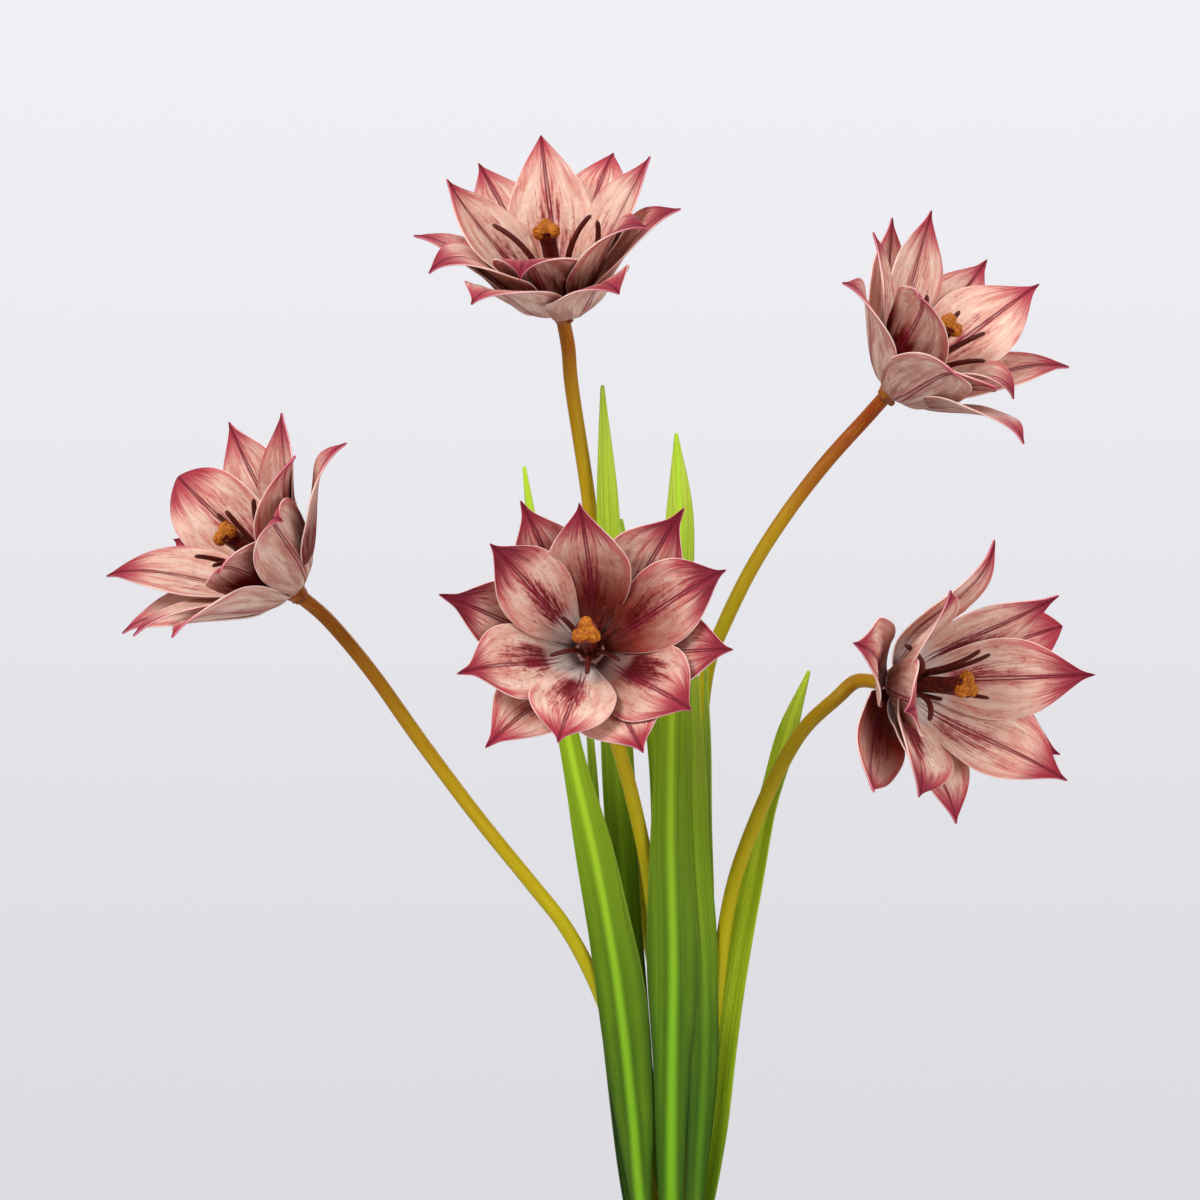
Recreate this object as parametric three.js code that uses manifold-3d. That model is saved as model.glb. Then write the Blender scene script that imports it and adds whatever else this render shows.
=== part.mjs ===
import * as THREE from "three";
import { mergeVertices } from "three/addons/utils/BufferGeometryUtils.js";
import Module from "manifold-3d";

// An artificial tulip bush: five open flower heads on wired stems, set with strap leaves in one
// moulded foot. Millimetres, +Z up, +X to the right and +Y to the back of the bush.
// The origin is the centre of the flat underside of the foot.

// Fits
const SEAT_GAP = 0.3; // between pieces that touch
const WIRE_ROOM = 0.65; // round a wire in its socket, so that the stem can lean
const COAT_ROOM = 0.75; // round a wire in its coat

// Stems: a plastic coat over a steel wire
const STEM_COUNT = 5;
const STEM_RADIUS = 2.6;
const STEM_SPACE = 0.68; // between the feet of neighbouring stems
const STEM_CIRCLE_RADIUS = (STEM_RADIUS + STEM_SPACE / 2) / Math.sin(Math.PI / STEM_COUNT);
const WIRE_RADIUS = 1;
const STEM_SIDES = 8;
const WIRE_SIDES = 5;
const STEM_STEP = 18; // length of one facet along a stem
const STEM_FOOT_STRAIGHT = 14; // each stem leaves the foot upright for this length
const STEM_NECK_STRAIGHT = 12; // and meets its flower along the flower's axis for this length
const ROOT_PEG = 2.4; // wire below the coat, in the foot
const NECK_PEG = 4; // wire above the coat, in the receptacle
const PEG_LAP = 0.8; // how far a peg reaches into the wire that it carries on

// Leaves: straps folded along the midrib
const LEAF_THICKNESS = 1;
const LEAF_ROWS = 15;
const LEAF_TIP_WIDTH = 1.2;
const LEAF_ROOT_FOLD = 0.22; // how far an edge lies behind the midrib, per half width
const LEAF_FOLD = 0.16;
const LEAF_ROOT_CLEARANCE = 0.55; // round the bent section of a leaf's root

// Foot: a stalk with a flange, and a head with one wire socket for each stem
const STALK_RADIUS = 5.5;
const FLANGE_LEVEL = 48;
const FLANGE_THICKNESS = 3;
const FOOT_HEIGHT = 66;
const FOOT_HEAD_RIM = 0.45; // of the head, outside the stems
const FOOT_HEAD_RADIUS = STEM_CIRCLE_RADIUS + STEM_RADIUS + FOOT_HEAD_RIM;
const FOOT_SIDES = 24;
const SOCKET_DEPTH = 5.5;
const SOCKET_MOUTH_RADIUS = STEM_RADIUS + 0.2; // countersunk, so that the rim of a leaning stem clears it
const SOCKET_MOUTH_DEPTH = 0.7;
const SOCKET_SIDES = 12;

// Two circles of leaf roots round the head of the foot, and the collar that holds them
const LEAF_ROOT_LEVEL = FLANGE_LEVEL + FLANGE_THICKNESS + SEAT_GAP;
const LEAF_ROOT_INNER_RADIUS = FOOT_HEAD_RADIUS + LEAF_THICKNESS / 2 + LEAF_ROOT_CLEARANCE;
const LEAF_ROOT_OUTER_RADIUS = LEAF_ROOT_INNER_RADIUS + LEAF_THICKNESS + LEAF_ROOT_CLEARANCE;
const COLLAR_INNER_RADIUS = LEAF_ROOT_OUTER_RADIUS + LEAF_THICKNESS / 2 + LEAF_ROOT_CLEARANCE;
const COLLAR_WALL = 1.2;
const COLLAR_SIDES = 32;

// Receptacle: the knob between a stem and its petals, with a post that the rings sit on
const RECEPTACLE_LENGTH = 5;
const RECEPTACLE_NECK_RADIUS = STEM_RADIUS + 0.5;
const RECEPTACLE_WAIST_RADIUS = RECEPTACLE_NECK_RADIUS + 0.4;
const RECEPTACLE_SEAT_RADIUS = RECEPTACLE_NECK_RADIUS + 1.5;
const POST_RADIUS = 2.1;
const HEAD_SIDES = 10; // of the turned pieces in a flower
const BORE_SIDES = 8;

// Petals: each whorl is one moulding, six petals on a ring
const PETAL_THICKNESS = 0.9;
const PETAL_ROWS = 6;
const PETAL_COLUMNS = 3;
const RING_THICKNESS = 1.1;
const RING_INNER_RADIUS = POST_RADIUS + SEAT_GAP;
const RING_MARGIN = 1; // of the ring, outside the roots of the petals
const OUTER_WHORL = {
  length: 66, width: 39, rootAngle: 80, rootRadius: RING_INNER_RADIUS + 2.2, bend: 0.42,
};
const INNER_WHORL = {
  length: 62, width: 38, rootAngle: 60, rootRadius: RING_INNER_RADIUS + 2, bend: 0.45,
};
const ROOT_SHARE = 0.12; // width at the root, as a share of the widest
const WIDEST = 0.52; // share of the length where a petal is widest
const TIP_POWER = 1.45; // above 1 the edges draw in to a point
const TIP_HALF_WIDTH = 0.5;
const CUP_EASE = 0.35; // how much flatter the cross section is at the tip
const FLAT_ROOT = 0.3; // share of the length over which a petal goes from flat to cupped
const FLAT_ROOT_CUP = 0.1; // share of the cup that it has at the root
const LAYER_OFFSET = 1.1; // every second petal of a whorl lies this far in, and the rest out
const LAYER_RISE = 0.15; // share of the length over which they part
const MIDDLE_LINE_STEPS = 24; // of a petal's middle line, in each row
const WHORL_SPACE = 1.9; // between the two rings

// Stamens: six filaments on a ring, and the pistil in their middle
const STAMEN_RING_RADIUS = RING_INNER_RADIUS + 1.6;
const FILAMENT_COUNT = 6;
const FILAMENT_SIDES = 4;
const FILAMENT_STEPS = 4;
const FILAMENT_RADIUS = 0.85;
const FILAMENT_PATH = [[3.3, 0.5], [4.9, 8], [8.4, 18], [13.6, 27], [18.6, 31.5]]; // radius, height
const PISTIL_RADIUS = 2.8;
const PISTIL_FOOT_RADIUS = 2;
const PISTIL_TOP = 36;
const PISTIL_SIDES = 8;
const STIGMA_LOBES = 3;
const STIGMA_LOBE_RADIUS = 2.5;
const STIGMA_LOBE_OFFSET = 2.6;
const STIGMA_DIP = 1; // between the lobes
const LOBE_SIDES = 6;
const LOBE_ROWS = 4;

// Levels of the rings along a flower's own axis, from its seat
const INNER_RING_LEVEL = RING_THICKNESS + WHORL_SPACE;
const STAMEN_RING_LEVEL = INNER_RING_LEVEL + RING_THICKNESS + SEAT_GAP;
const POST_TOP = STAMEN_RING_LEVEL + RING_THICKNESS;
const PISTIL_LEVEL = POST_TOP + SEAT_GAP;

// Flowers. Heights are above the top of the foot. seat: where the petals meet; axis: where the
// flower faces; turn: place of the stem on its circle in the foot, degrees; route: points of the
// stem between foot and flower. Each petal is [place round the axis, lean from the axis, lean at
// the tip, extra length].
const FLOWERS = [
  {
    name: "top",
    seat: [-40, 5, 351.5],
    axis: [-0.15, -0.58, 0.8],
    turn: 126,
    route: [
      [-2.4, 6, 54], [-3.4, 9.5, 94], [-9, 12.5, 129], [-20.5, 14, 192], [-29.5, 14, 279],
      [-36.5, 13, 326],
    ],
    outer: [
      [-10, 34, 75, 0], [68, 50, 90, 0], [116, 48, 62, 0], [190, 29, 75, -1], [243, 38, 80, 0],
      [301, 40, 90, 0],
    ],
    inner: [
      [26, 36, 50, 0], [90, 33, 42, -1], [148, 27, 48, 0], [214, 32, 100, 0], [262, 27, 100, 0],
      [325, 27, 85, 0],
    ],
    stamenTurn: 10,
  },
  {
    name: "right",
    seat: [80.2, 10, 322.9],
    axis: [0.58, -0.48, 0.66],
    turn: 54,
    route: [
      [3.8, 6, 54], [5.5, 8.5, 104], [8.5, 11.5, 159], [13, 14, 221], [19.5, 15, 238],
      [30, 16.5, 259], [43, 17.5, 279], [57, 18, 297],
    ],
    outer: [
      [72, 48, 70, 0], [122, 48, 55, -9], [200, 38, 90, -2], [258, 32, 75, 0], [300, 38, 100, 0],
      [17, 45, 88, 0],
    ],
    inner: [
      [46, 32, 42, 0], [107, 36, 45, 2], [165, 33, 60, -5], [222, 23, 70, 0], [285, 34, 60, -4],
      [323, 24, 110, -8],
    ],
    stamenTurn: 25,
  },
  {
    name: "left",
    seat: [-136.8, 0, 250.1],
    axis: [-0.68, -0.42, 0.6],
    turn: 198,
    route: [
      [-7.6, -2.6, 32], [-14, -4.6, 65], [-23.5, -6.2, 99], [-37, -6.5, 127], [-51, -5.5, 145],
      [-69, -3.5, 167], [-91, 0.5, 196], [-109, 4.5, 221],
    ],
    outer: [
      [-6, 41, 105, 2], [80, 38, 50, 0], [137, 36, 60, -10], [188, 42, 95, -3], [256, 38, 85, 0],
      [318, 35, 85, 0],
    ],
    inner: [
      [28, 32, 46, 1], [110, 37, 72, 0], [174, 32, 68, 1], [226, 34, 85, 0], [290, 34, 90, 0],
      [348, 28, 80, 0],
    ],
    stamenTurn: 0,
  },
  {
    name: "front",
    seat: [-29, -45, 227.9],
    axis: [-0.05, -0.97, 0.22],
    turn: 270,
    route: [
      [-0.8, -6.2, 49], [-3, -8.6, 99], [-8.4, -11, 147], [-14.2, -13.5, 175], [-20, -18, 196],
      [-25.5, -25, 213],
    ],
    outer: [
      [-9, 38, 50, 0], [51, 37, 55, 0], [117, 29, 52, 0], [168, 32, 55, 0], [230, 36, 58, 0],
      [294, 32, 52, 0],
    ],
    inner: [
      [24, 38, 65, 1], [92, 27, 50, 0], [136, 27, 52, 0], [201, 31, 62, 2], [260, 30, 55, 0],
      [320, 34, 60, 0],
    ],
    stamenTurn: 15,
  },
  {
    name: "low",
    seat: [76.6, -45, 217.1],
    axis: [0.71, -0.7, -0.02],
    turn: 342,
    route: [
      [8.3, -2.2, 32], [11.6, -3.6, 66], [15.6, -5.8, 103], [20.9, -10.5, 141], [28.2, -16.8, 164],
      [37.2, -23.5, 185], [46.5, -29, 201], [58, -33.5, 212],
    ],
    outer: [
      [24, 50, 70, 2], [84, 38, 52, 0], [158, 50, 95, 0], [222, 50, 80, 0], [260, 40, 62, -3],
      [332, 48, 60, -4],
    ],
    inner: [
      [4, 32, 45, 8], [44, 28, 48, 3], [122, 28, 60, 0], [192, 22, 90, 0], [236, 40, 62, 0],
      [312, 30, 45, 6],
    ],
    stamenTurn: 20,
  },
];

// Leaves. turn: place of the root round the foot, degrees; root: which circle of roots;
// face: where the back of the leaf looks at its root and at its tip, degrees;
// route: points of the midrib with the width there; tip: its last point.
const LEAVES = [
  {
    name: "leaf_front_left",
    turn: 233,
    rootRadius: LEAF_ROOT_OUTER_RADIUS,
    rootWidth: 7.4,
    face: [233, 270],
    route: [
      [-11.5, -11, 30, 8.5], [-14.5, -13.2, 64, 15], [-20, -15, 111, 18.5],
      [-26.5, -15, 149, 15], [-36, -15, 191, 8.5], [-46, -14, 244, 7],
    ],
    tip: [-53, -12, 294],
  },
  {
    name: "leaf_front",
    turn: 276,
    rootRadius: LEAF_ROOT_INNER_RADIUS,
    rootWidth: 7.4,
    face: [276, 270],
    route: [
      [-0.4, -14, 34, 9], [-0.3, -17.6, 79, 12.6], [0.2, -18, 119, 18.5], [-0.8, -17, 164, 14],
      [0, -14.5, 214, 11], [2.8, -11, 272, 10.5],
    ],
    tip: [1.3, -9, 306],
  },
  {
    name: "leaf_front_right",
    turn: 325,
    rootRadius: LEAF_ROOT_INNER_RADIUS,
    rootWidth: 6.4,
    face: [325, 258],
    route: [
      [9.2, -9.8, 30, 7], [12.6, -12.6, 82, 10.2], [11.6, -13.6, 114, 10.6], [9, -12, 149, 11],
      [7.5, -10.5, 184, 9],
    ],
    tip: [6.5, -9, 246],
  },
  {
    name: "leaf_right_back",
    turn: 45,
    rootRadius: LEAF_ROOT_INNER_RADIUS,
    rootWidth: 7,
    face: [45, 15],
    route: [[10, 8, 34, 7], [12.4, 6.4, 84, 7.2], [13.6, 3, 134, 7.5], [13.3, 0.5, 184, 6.5]],
    tip: [12.3, -0.5, 225],
  },
  {
    name: "leaf_back",
    turn: 85,
    rootRadius: LEAF_ROOT_OUTER_RADIUS,
    rootWidth: 6.4,
    face: [85, 80],
    route: [
      [0, 16, 34, 7], [0, 22, 84, 8], [-3, 28, 134, 7], [-5.5, 31, 189, 5.5],
      [-12, 30.5, 239, 4.5],
    ],
    tip: [-18.2, 29, 276],
  },
  {
    name: "leaf_back_left",
    turn: 120,
    rootRadius: LEAF_ROOT_INNER_RADIUS,
    rootWidth: 9,
    face: [120, 92],
    route: [
      [-8.2, 9.4, 34, 9.5], [-13.5, 8.6, 84, 11.5], [-17, 6, 134, 12], [-19.5, 4.5, 179, 12],
      [-21.5, 5.5, 234, 10], [-23.4, 7, 282, 8],
    ],
    tip: [-25, 8, 324],
  },
  {
    name: "leaf_left",
    turn: 166,
    rootRadius: LEAF_ROOT_OUTER_RADIUS,
    rootWidth: 5.4,
    face: [160, 135],
    route: [
      [-17.4, 1.6, 34, 5], [-23.4, 0.6, 84, 6.5], [-27, 0.6, 134, 6.5], [-28.5, -1, 179, 5.5],
    ],
    tip: [-31, -2, 219],
  },
];

// The leaf that clasps the stem of the low flower, and moves with it
const STEM_LEAF = {
  name: "leaf_on_low_stem",
  face: [10, 62],
  route: [
    [11.4, -1.4, 26, 5], [13.4, -1.5, 40, 8], [16.4, -2, 65, 11], [21, -2.6, 102, 10.5],
    [28, -5, 141, 9], [34, -8.5, 172, 8], [41, -12.5, 198, 7.5],
  ],
  tip: [48.6, -16.5, 221],
};

const wasm = await Module();
wasm.setup();

const rad = THREE.MathUtils.degToRad;
const aboveFoot = ([x, y, z]) => new THREE.Vector3(x, y, z + FOOT_HEIGHT);
const plastic = (color, roughness) => new THREE.MeshStandardMaterial({ color, roughness, metalness: 0 });
const MATERIALS = {
  foot: plastic("#4f7a22", 0.6),
  collar: plastic("#3f6a1e", 0.6),
  stem: plastic("#a8841a", 0.55),
  wire: new THREE.MeshStandardMaterial({ color: "#9a9c9e", roughness: 0.4, metalness: 1 }),
  leaf: plastic("#6b9a2c", 0.55),
  receptacle: plastic("#9c6b3c", 0.6),
  outerPetal: plastic("#d99a94", 0.7),
  innerPetal: plastic("#e6b3a4", 0.7),
  stamen: plastic("#5a211c", 0.6),
  pistil: plastic("#8f3f18", 0.6),
};

function toSolid(geometry) {
  const bare = geometry.clone();
  bare.deleteAttribute("normal");
  bare.deleteAttribute("uv");
  const merged = mergeVertices(bare, 1e-4);
  return new wasm.Manifold(
    new wasm.Mesh({
      numProp: 3,
      vertProperties: merged.attributes.position.array,
      triVerts: new Uint32Array(merged.index.array),
    }),
  );
}

function toGeometry(solid) {
  const mesh = solid.getMesh();
  const geometry = new THREE.BufferGeometry();
  geometry.setAttribute("position", new THREE.BufferAttribute(mesh.vertProperties, 3));
  geometry.setIndex(new THREE.BufferAttribute(mesh.triVerts, 1));
  const flat = geometry.toNonIndexed();
  flat.computeVertexNormals();
  return flat;
}

function addMesh(group, name, geometry, material) {
  const mesh = new THREE.Mesh(geometry, material);
  mesh.name = name;
  group.add(mesh);
  return mesh;
}

// A turned piece about +Z. The profile is [radius, height] points, up the outside.
function turned(profile, sides) {
  const geometry = new THREE.LatheGeometry(profile.map(([r, z]) => new THREE.Vector2(r, z)), sides);
  return geometry.rotateX(Math.PI / 2);
}

// A closed sheet of the given thickness about a grid of points, grid[row][column].
function sheet(grid, thickness) {
  const lastRow = grid.length - 1;
  const lastColumn = grid[0].length - 1;
  const at = (i, j) => grid[Math.min(Math.max(i, 0), lastRow)][Math.min(Math.max(j, 0), lastColumn)];
  const front = [];
  const back = [];
  for (let i = 0; i <= lastRow; i++) {
    for (let j = 0; j <= lastColumn; j++) {
      const across = at(i, j + 1).clone().sub(at(i, j - 1));
      const along = at(i + 1, j).clone().sub(at(i - 1, j));
      const normal = across.cross(along).normalize().multiplyScalar(thickness / 2);
      front.push(grid[i][j].clone().add(normal));
      back.push(grid[i][j].clone().sub(normal));
    }
  }
  const points = front.concat(back);
  const f = (i, j) => i * (lastColumn + 1) + j;
  const b = (i, j) => front.length + f(i, j);
  const index = [];
  const quad = (p, q, r, s) => index.push(p, q, r, p, r, s);
  for (let i = 0; i < lastRow; i++) {
    for (let j = 0; j < lastColumn; j++) {
      quad(f(i, j), f(i, j + 1), f(i + 1, j + 1), f(i + 1, j));
      quad(b(i, j), b(i + 1, j), b(i + 1, j + 1), b(i, j + 1));
    }
    quad(f(i, 0), f(i + 1, 0), b(i + 1, 0), b(i, 0));
    quad(f(i, lastColumn), b(i, lastColumn), b(i + 1, lastColumn), f(i + 1, lastColumn));
  }
  for (let j = 0; j < lastColumn; j++) {
    quad(f(0, j), b(0, j), b(0, j + 1), f(0, j + 1));
    quad(f(lastRow, j), f(lastRow, j + 1), b(lastRow, j + 1), b(lastRow, j));
  }
  const geometry = new THREE.BufferGeometry().setFromPoints(points);
  geometry.setIndex(index);
  return geometry;
}

// A tube or rod along a curve, closed at both ends.
function tube(curve, steps, radius, sides, bore) {
  const polygon = (r, count) => {
    const points = [];
    for (let k = 0; k < count; k++) {
      const angle = (2 * Math.PI * k) / count;
      points.push(new THREE.Vector2(r * Math.cos(angle), r * Math.sin(angle)));
    }
    return points;
  };
  const section = new THREE.Shape(polygon(radius, sides));
  if (bore) section.holes.push(new THREE.Path(polygon(bore.radius, bore.sides)));
  return new THREE.ExtrudeGeometry(section, { steps, extrudePath: curve, bevelEnabled: false });
}

// Foot and collar
function footGeometry() {
  const flangeTop = FLANGE_LEVEL + FLANGE_THICKNESS;
  const flangeRadius = COLLAR_INNER_RADIUS + COLLAR_WALL;
  const body = toSolid(turned([
    [0, 0], [STALK_RADIUS, 0], [STALK_RADIUS, FLANGE_LEVEL], [flangeRadius, FLANGE_LEVEL],
    [flangeRadius, flangeTop], [FOOT_HEAD_RADIUS, flangeTop], [FOOT_HEAD_RADIUS, FOOT_HEIGHT],
    [0, FOOT_HEIGHT],
  ], FOOT_SIDES));
  const socketRadius = WIRE_RADIUS + WIRE_ROOM;
  let drilled = body;
  for (const flower of FLOWERS) {
    const socket = turned([
      [0, FOOT_HEIGHT - SOCKET_DEPTH], [socketRadius, FOOT_HEIGHT - SOCKET_DEPTH],
      [socketRadius, FOOT_HEIGHT - SOCKET_MOUTH_DEPTH], [SOCKET_MOUTH_RADIUS, FOOT_HEIGHT],
      [SOCKET_MOUTH_RADIUS, FOOT_HEIGHT + 1], [0, FOOT_HEIGHT + 1],
    ], SOCKET_SIDES);
    const { x, y } = stemFoot(flower);
    drilled = drilled.subtract(toSolid(socket.translate(x, y, 0)));
  }
  return toGeometry(drilled);
}

function collarGeometry() {
  const outer = COLLAR_INNER_RADIUS + COLLAR_WALL;
  return turned([
    [COLLAR_INNER_RADIUS, LEAF_ROOT_LEVEL], [outer, LEAF_ROOT_LEVEL], [outer, FOOT_HEIGHT],
    [COLLAR_INNER_RADIUS, FOOT_HEIGHT], [COLLAR_INNER_RADIUS, LEAF_ROOT_LEVEL],
  ], COLLAR_SIDES);
}

// Stems
function stemFoot(flower) {
  const turn = rad(flower.turn);
  return aboveFoot([STEM_CIRCLE_RADIUS * Math.cos(turn), STEM_CIRCLE_RADIUS * Math.sin(turn), SEAT_GAP]);
}

function stemCurve(flower) {
  const foot = stemFoot(flower);
  const axis = new THREE.Vector3(...flower.axis).normalize();
  const neck = aboveFoot(flower.seat).addScaledVector(axis, -(RECEPTACLE_LENGTH + SEAT_GAP));
  return new THREE.CatmullRomCurve3([
    foot,
    foot.clone().add(new THREE.Vector3(0, 0, STEM_FOOT_STRAIGHT)),
    ...flower.route.map(aboveFoot),
    neck.clone().addScaledVector(axis, -STEM_NECK_STRAIGHT),
    neck,
  ], false, "centripetal");
}

// A short straight rod that carries a wire on past its end.
function peg(from, direction, length) {
  const rod = new THREE.CylinderGeometry(WIRE_RADIUS, WIRE_RADIUS, length, WIRE_SIDES);
  rod.translate(0, length / 2, 0);
  const turn = new THREE.Quaternion().setFromUnitVectors(new THREE.Vector3(0, 1, 0), direction);
  return toSolid(rod.applyQuaternion(turn).translate(from.x, from.y, from.z));
}

function buildStem(group, flower) {
  const curve = stemCurve(flower);
  const steps = Math.round(curve.getLength() / STEM_STEP);
  const bore = { radius: WIRE_RADIUS + COAT_ROOM, sides: WIRE_SIDES };
  addMesh(group, `stem_${flower.name}`, tube(curve, steps, STEM_RADIUS, STEM_SIDES, bore), MATERIALS.stem);

  const start = curve.getPointAt(0);
  const startAxis = curve.getTangentAt(0);
  const end = curve.getPointAt(1);
  const endAxis = curve.getTangentAt(1);
  const wire = toSolid(tube(curve, steps, WIRE_RADIUS, WIRE_SIDES))
    .add(peg(start.addScaledVector(startAxis, PEG_LAP), startAxis.clone().negate(), ROOT_PEG + PEG_LAP))
    .add(peg(end.addScaledVector(endAxis, -PEG_LAP), endAxis, NECK_PEG + PEG_LAP));
  addMesh(group, `stem_wire_${flower.name}`, toGeometry(wire), MATERIALS.wire);
}

// Leaves: a folded strap along a smooth midrib. Each station is a point of the midrib, with its
// width; rooted is the number of stations over which the strap doesn't twist yet.
function strapGeometry(stations, face, rooted) {
  const midrib = new THREE.CatmullRomCurve3(stations.map(({ point }) => point), false, "centripetal");
  const widths = new THREE.CatmullRomCurve3(
    stations.map(({ width }, k) => new THREE.Vector3(width, k, 0)), false, "catmullrom",
  );
  const rootEnd = rooted / (stations.length - 1);
  const grid = [];
  for (let i = 0; i <= LEAF_ROWS; i++) {
    const t = i / LEAF_ROWS;
    const free = Math.max(0, (t - rootEnd) / (1 - rootEnd));
    const middle = midrib.getPoint(t);
    const along = midrib.getTangent(t);
    const halfWidth = widths.getPoint(t).x / 2;
    const turn = rad(THREE.MathUtils.lerp(face[0], face[1], free));
    const back = new THREE.Vector3(Math.cos(turn), Math.sin(turn), 0);
    const side = new THREE.Vector3().crossVectors(along, back).normalize();
    back.crossVectors(side, along).normalize();
    const fold = THREE.MathUtils.lerp(LEAF_ROOT_FOLD, LEAF_FOLD, t);
    grid.push([-1, 0, 1].map((u) => middle.clone()
      .addScaledVector(side, u * halfWidth)
      .addScaledVector(back, -Math.abs(u) * fold * halfWidth)));
  }
  return sheet(grid, LEAF_THICKNESS);
}

function leafStations({ route, tip }) {
  const stations = route.map(([x, y, z, width]) => ({ point: aboveFoot([x, y, z]), width }));
  return [...stations, { point: aboveFoot(tip), width: LEAF_TIP_WIDTH }];
}

function buildLeaf(group, leaf) {
  const turn = rad(leaf.turn);
  const rootLevels = [LEAF_ROOT_LEVEL, (LEAF_ROOT_LEVEL + FOOT_HEIGHT) / 2, FOOT_HEIGHT];
  const root = rootLevels.map((level) => ({
    point: new THREE.Vector3(leaf.rootRadius * Math.cos(turn), leaf.rootRadius * Math.sin(turn), level),
    width: leaf.rootWidth,
  }));
  const stations = [...root, ...leafStations(leaf)];
  addMesh(group, leaf.name, strapGeometry(stations, leaf.face, root.length - 1), MATERIALS.leaf);
}

// Flowers, in their own frame: the axis is +Z and the seat of the petals is the origin.
function receptacleGeometry() {
  const body = toSolid(turned([
    [0, -RECEPTACLE_LENGTH], [RECEPTACLE_NECK_RADIUS, -RECEPTACLE_LENGTH],
    [RECEPTACLE_WAIST_RADIUS, -RECEPTACLE_LENGTH / 2], [RECEPTACLE_SEAT_RADIUS, -SEAT_GAP],
    [POST_RADIUS, -SEAT_GAP], [POST_RADIUS, POST_TOP], [0, POST_TOP],
  ], HEAD_SIDES));
  const boreRadius = WIRE_RADIUS + SEAT_GAP;
  const boreTop = NECK_PEG - RECEPTACLE_LENGTH;
  const bore = turned([
    [0, -RECEPTACLE_LENGTH - 1], [boreRadius, -RECEPTACLE_LENGTH - 1], [boreRadius, boreTop], [0, boreTop],
  ], BORE_SIDES);
  return toGeometry(body.subtract(toSolid(bore)));
}

function ring(level, radius, grow = 0) {
  return toSolid(turned([
    [RING_INNER_RADIUS - grow, level - grow], [radius + grow, level - grow],
    [radius + grow, level + RING_THICKNESS + grow],
    [RING_INNER_RADIUS - grow, level + RING_THICKNESS + grow], [RING_INNER_RADIUS - grow, level - grow],
  ], HEAD_SIDES));
}

// Half width of a petal as a share of its widest, s from 0 at the root to 1 at the tip.
function petalOutline(s) {
  if (s < WIDEST) return ROOT_SHARE + (1 - ROOT_SHARE) * Math.sin((Math.PI / 2) * (s / WIDEST));
  const t = (s - WIDEST) / (1 - WIDEST);
  return Math.pow(1 - t * t, TIP_POWER);
}

// Lean of a petal's middle line from the flower's axis at s, degrees.
function petalLean(s, whorl, lean, tipLean) {
  if (s < whorl.bend) return lean + (whorl.rootAngle - lean) * Math.pow(1 - s / whorl.bend, 2);
  return lean + (tipLean - lean) * Math.pow((s - whorl.bend) / (1 - whorl.bend), 2);
}

// One petal. grow makes it larger all round, as a cutter.
function petalSolid(whorl, level, [place, lean, tipLean, extra], order, grow = 0) {
  const length = whorl.length + extra;
  const fine = 1 / (PETAL_ROWS * MIDDLE_LINE_STEPS);
  const turn = rad(place);
  const outward = new THREE.Vector3(Math.cos(turn), Math.sin(turn), 0);
  const sideways = new THREE.Vector3(-Math.sin(turn), Math.cos(turn), 0);
  const up = new THREE.Vector3(0, 0, 1);
  const layer = order % 2 ? LAYER_OFFSET : -LAYER_OFFSET;
  const grid = [];
  let radius = whorl.rootRadius;
  let height = level + RING_THICKNESS / 2;
  for (let i = 0; i <= PETAL_ROWS; i++) {
    const s = i / PETAL_ROWS;
    const angle = rad(petalLean(s, whorl, lean, tipLean));
    const halfWidth = Math.max((whorl.width / 2) * petalOutline(s), TIP_HALF_WIDTH) + grow;
    const offset = layer * (1 - s) * Math.min(1, s / LAYER_RISE);
    const shifted = radius + offset * Math.cos(angle);
    const lowered = height - offset * Math.sin(angle);
    const bowl = halfWidth / (shifted * (1 + CUP_EASE * s));
    const cup = bowl * Math.min(1, THREE.MathUtils.lerp(FLAT_ROOT_CUP, 1, s / FLAT_ROOT));
    const row = [];
    for (let j = 0; j <= PETAL_COLUMNS; j++) {
      const u = (2 * j) / PETAL_COLUMNS - 1;
      const side = (halfWidth * Math.sin(cup * u)) / cup;
      const inward = (halfWidth * (1 - Math.cos(cup * u))) / cup;
      row.push(new THREE.Vector3()
        .addScaledVector(outward, shifted - inward * Math.cos(angle))
        .addScaledVector(sideways, side)
        .addScaledVector(up, lowered + inward * Math.sin(angle)));
    }
    grid.push(row);
    for (let k = 0; k < MIDDLE_LINE_STEPS && i < PETAL_ROWS; k++) {
      const middle = rad(petalLean(s + (k + 0.5) * fine, whorl, lean, tipLean));
      radius += Math.sin(middle) * length * fine;
      height += Math.cos(middle) * length * fine;
    }
  }
  return toSolid(sheet(grid, PETAL_THICKNESS + 2 * grow));
}

function whorlSolid(whorl, level, petals, grow = 0) {
  const pieces = petals.map((petal, order) => petalSolid(whorl, level, petal, order, grow));
  return wasm.Manifold.union([ring(level, whorl.rootRadius + RING_MARGIN, grow), ...pieces]);
}

// The body that holds the ring, without the slivers and the closed pockets between petals.
function mainBody(solid) {
  return solid.decompose().sort((a, b) => b.volume() - a.volume())[0];
}

function stamensGeometry(turn) {
  const pieces = [ring(STAMEN_RING_LEVEL, STAMEN_RING_RADIUS)];
  for (let k = 0; k < FILAMENT_COUNT; k++) {
    const angle = rad(turn + (360 * k) / FILAMENT_COUNT);
    const curve = new THREE.CatmullRomCurve3(FILAMENT_PATH.map(([r, h]) =>
      new THREE.Vector3(r * Math.cos(angle), r * Math.sin(angle), STAMEN_RING_LEVEL + h)));
    pieces.push(toSolid(tube(curve, FILAMENT_STEPS, FILAMENT_RADIUS, FILAMENT_SIDES)));
  }
  return toGeometry(wasm.Manifold.union(pieces));
}

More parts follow.
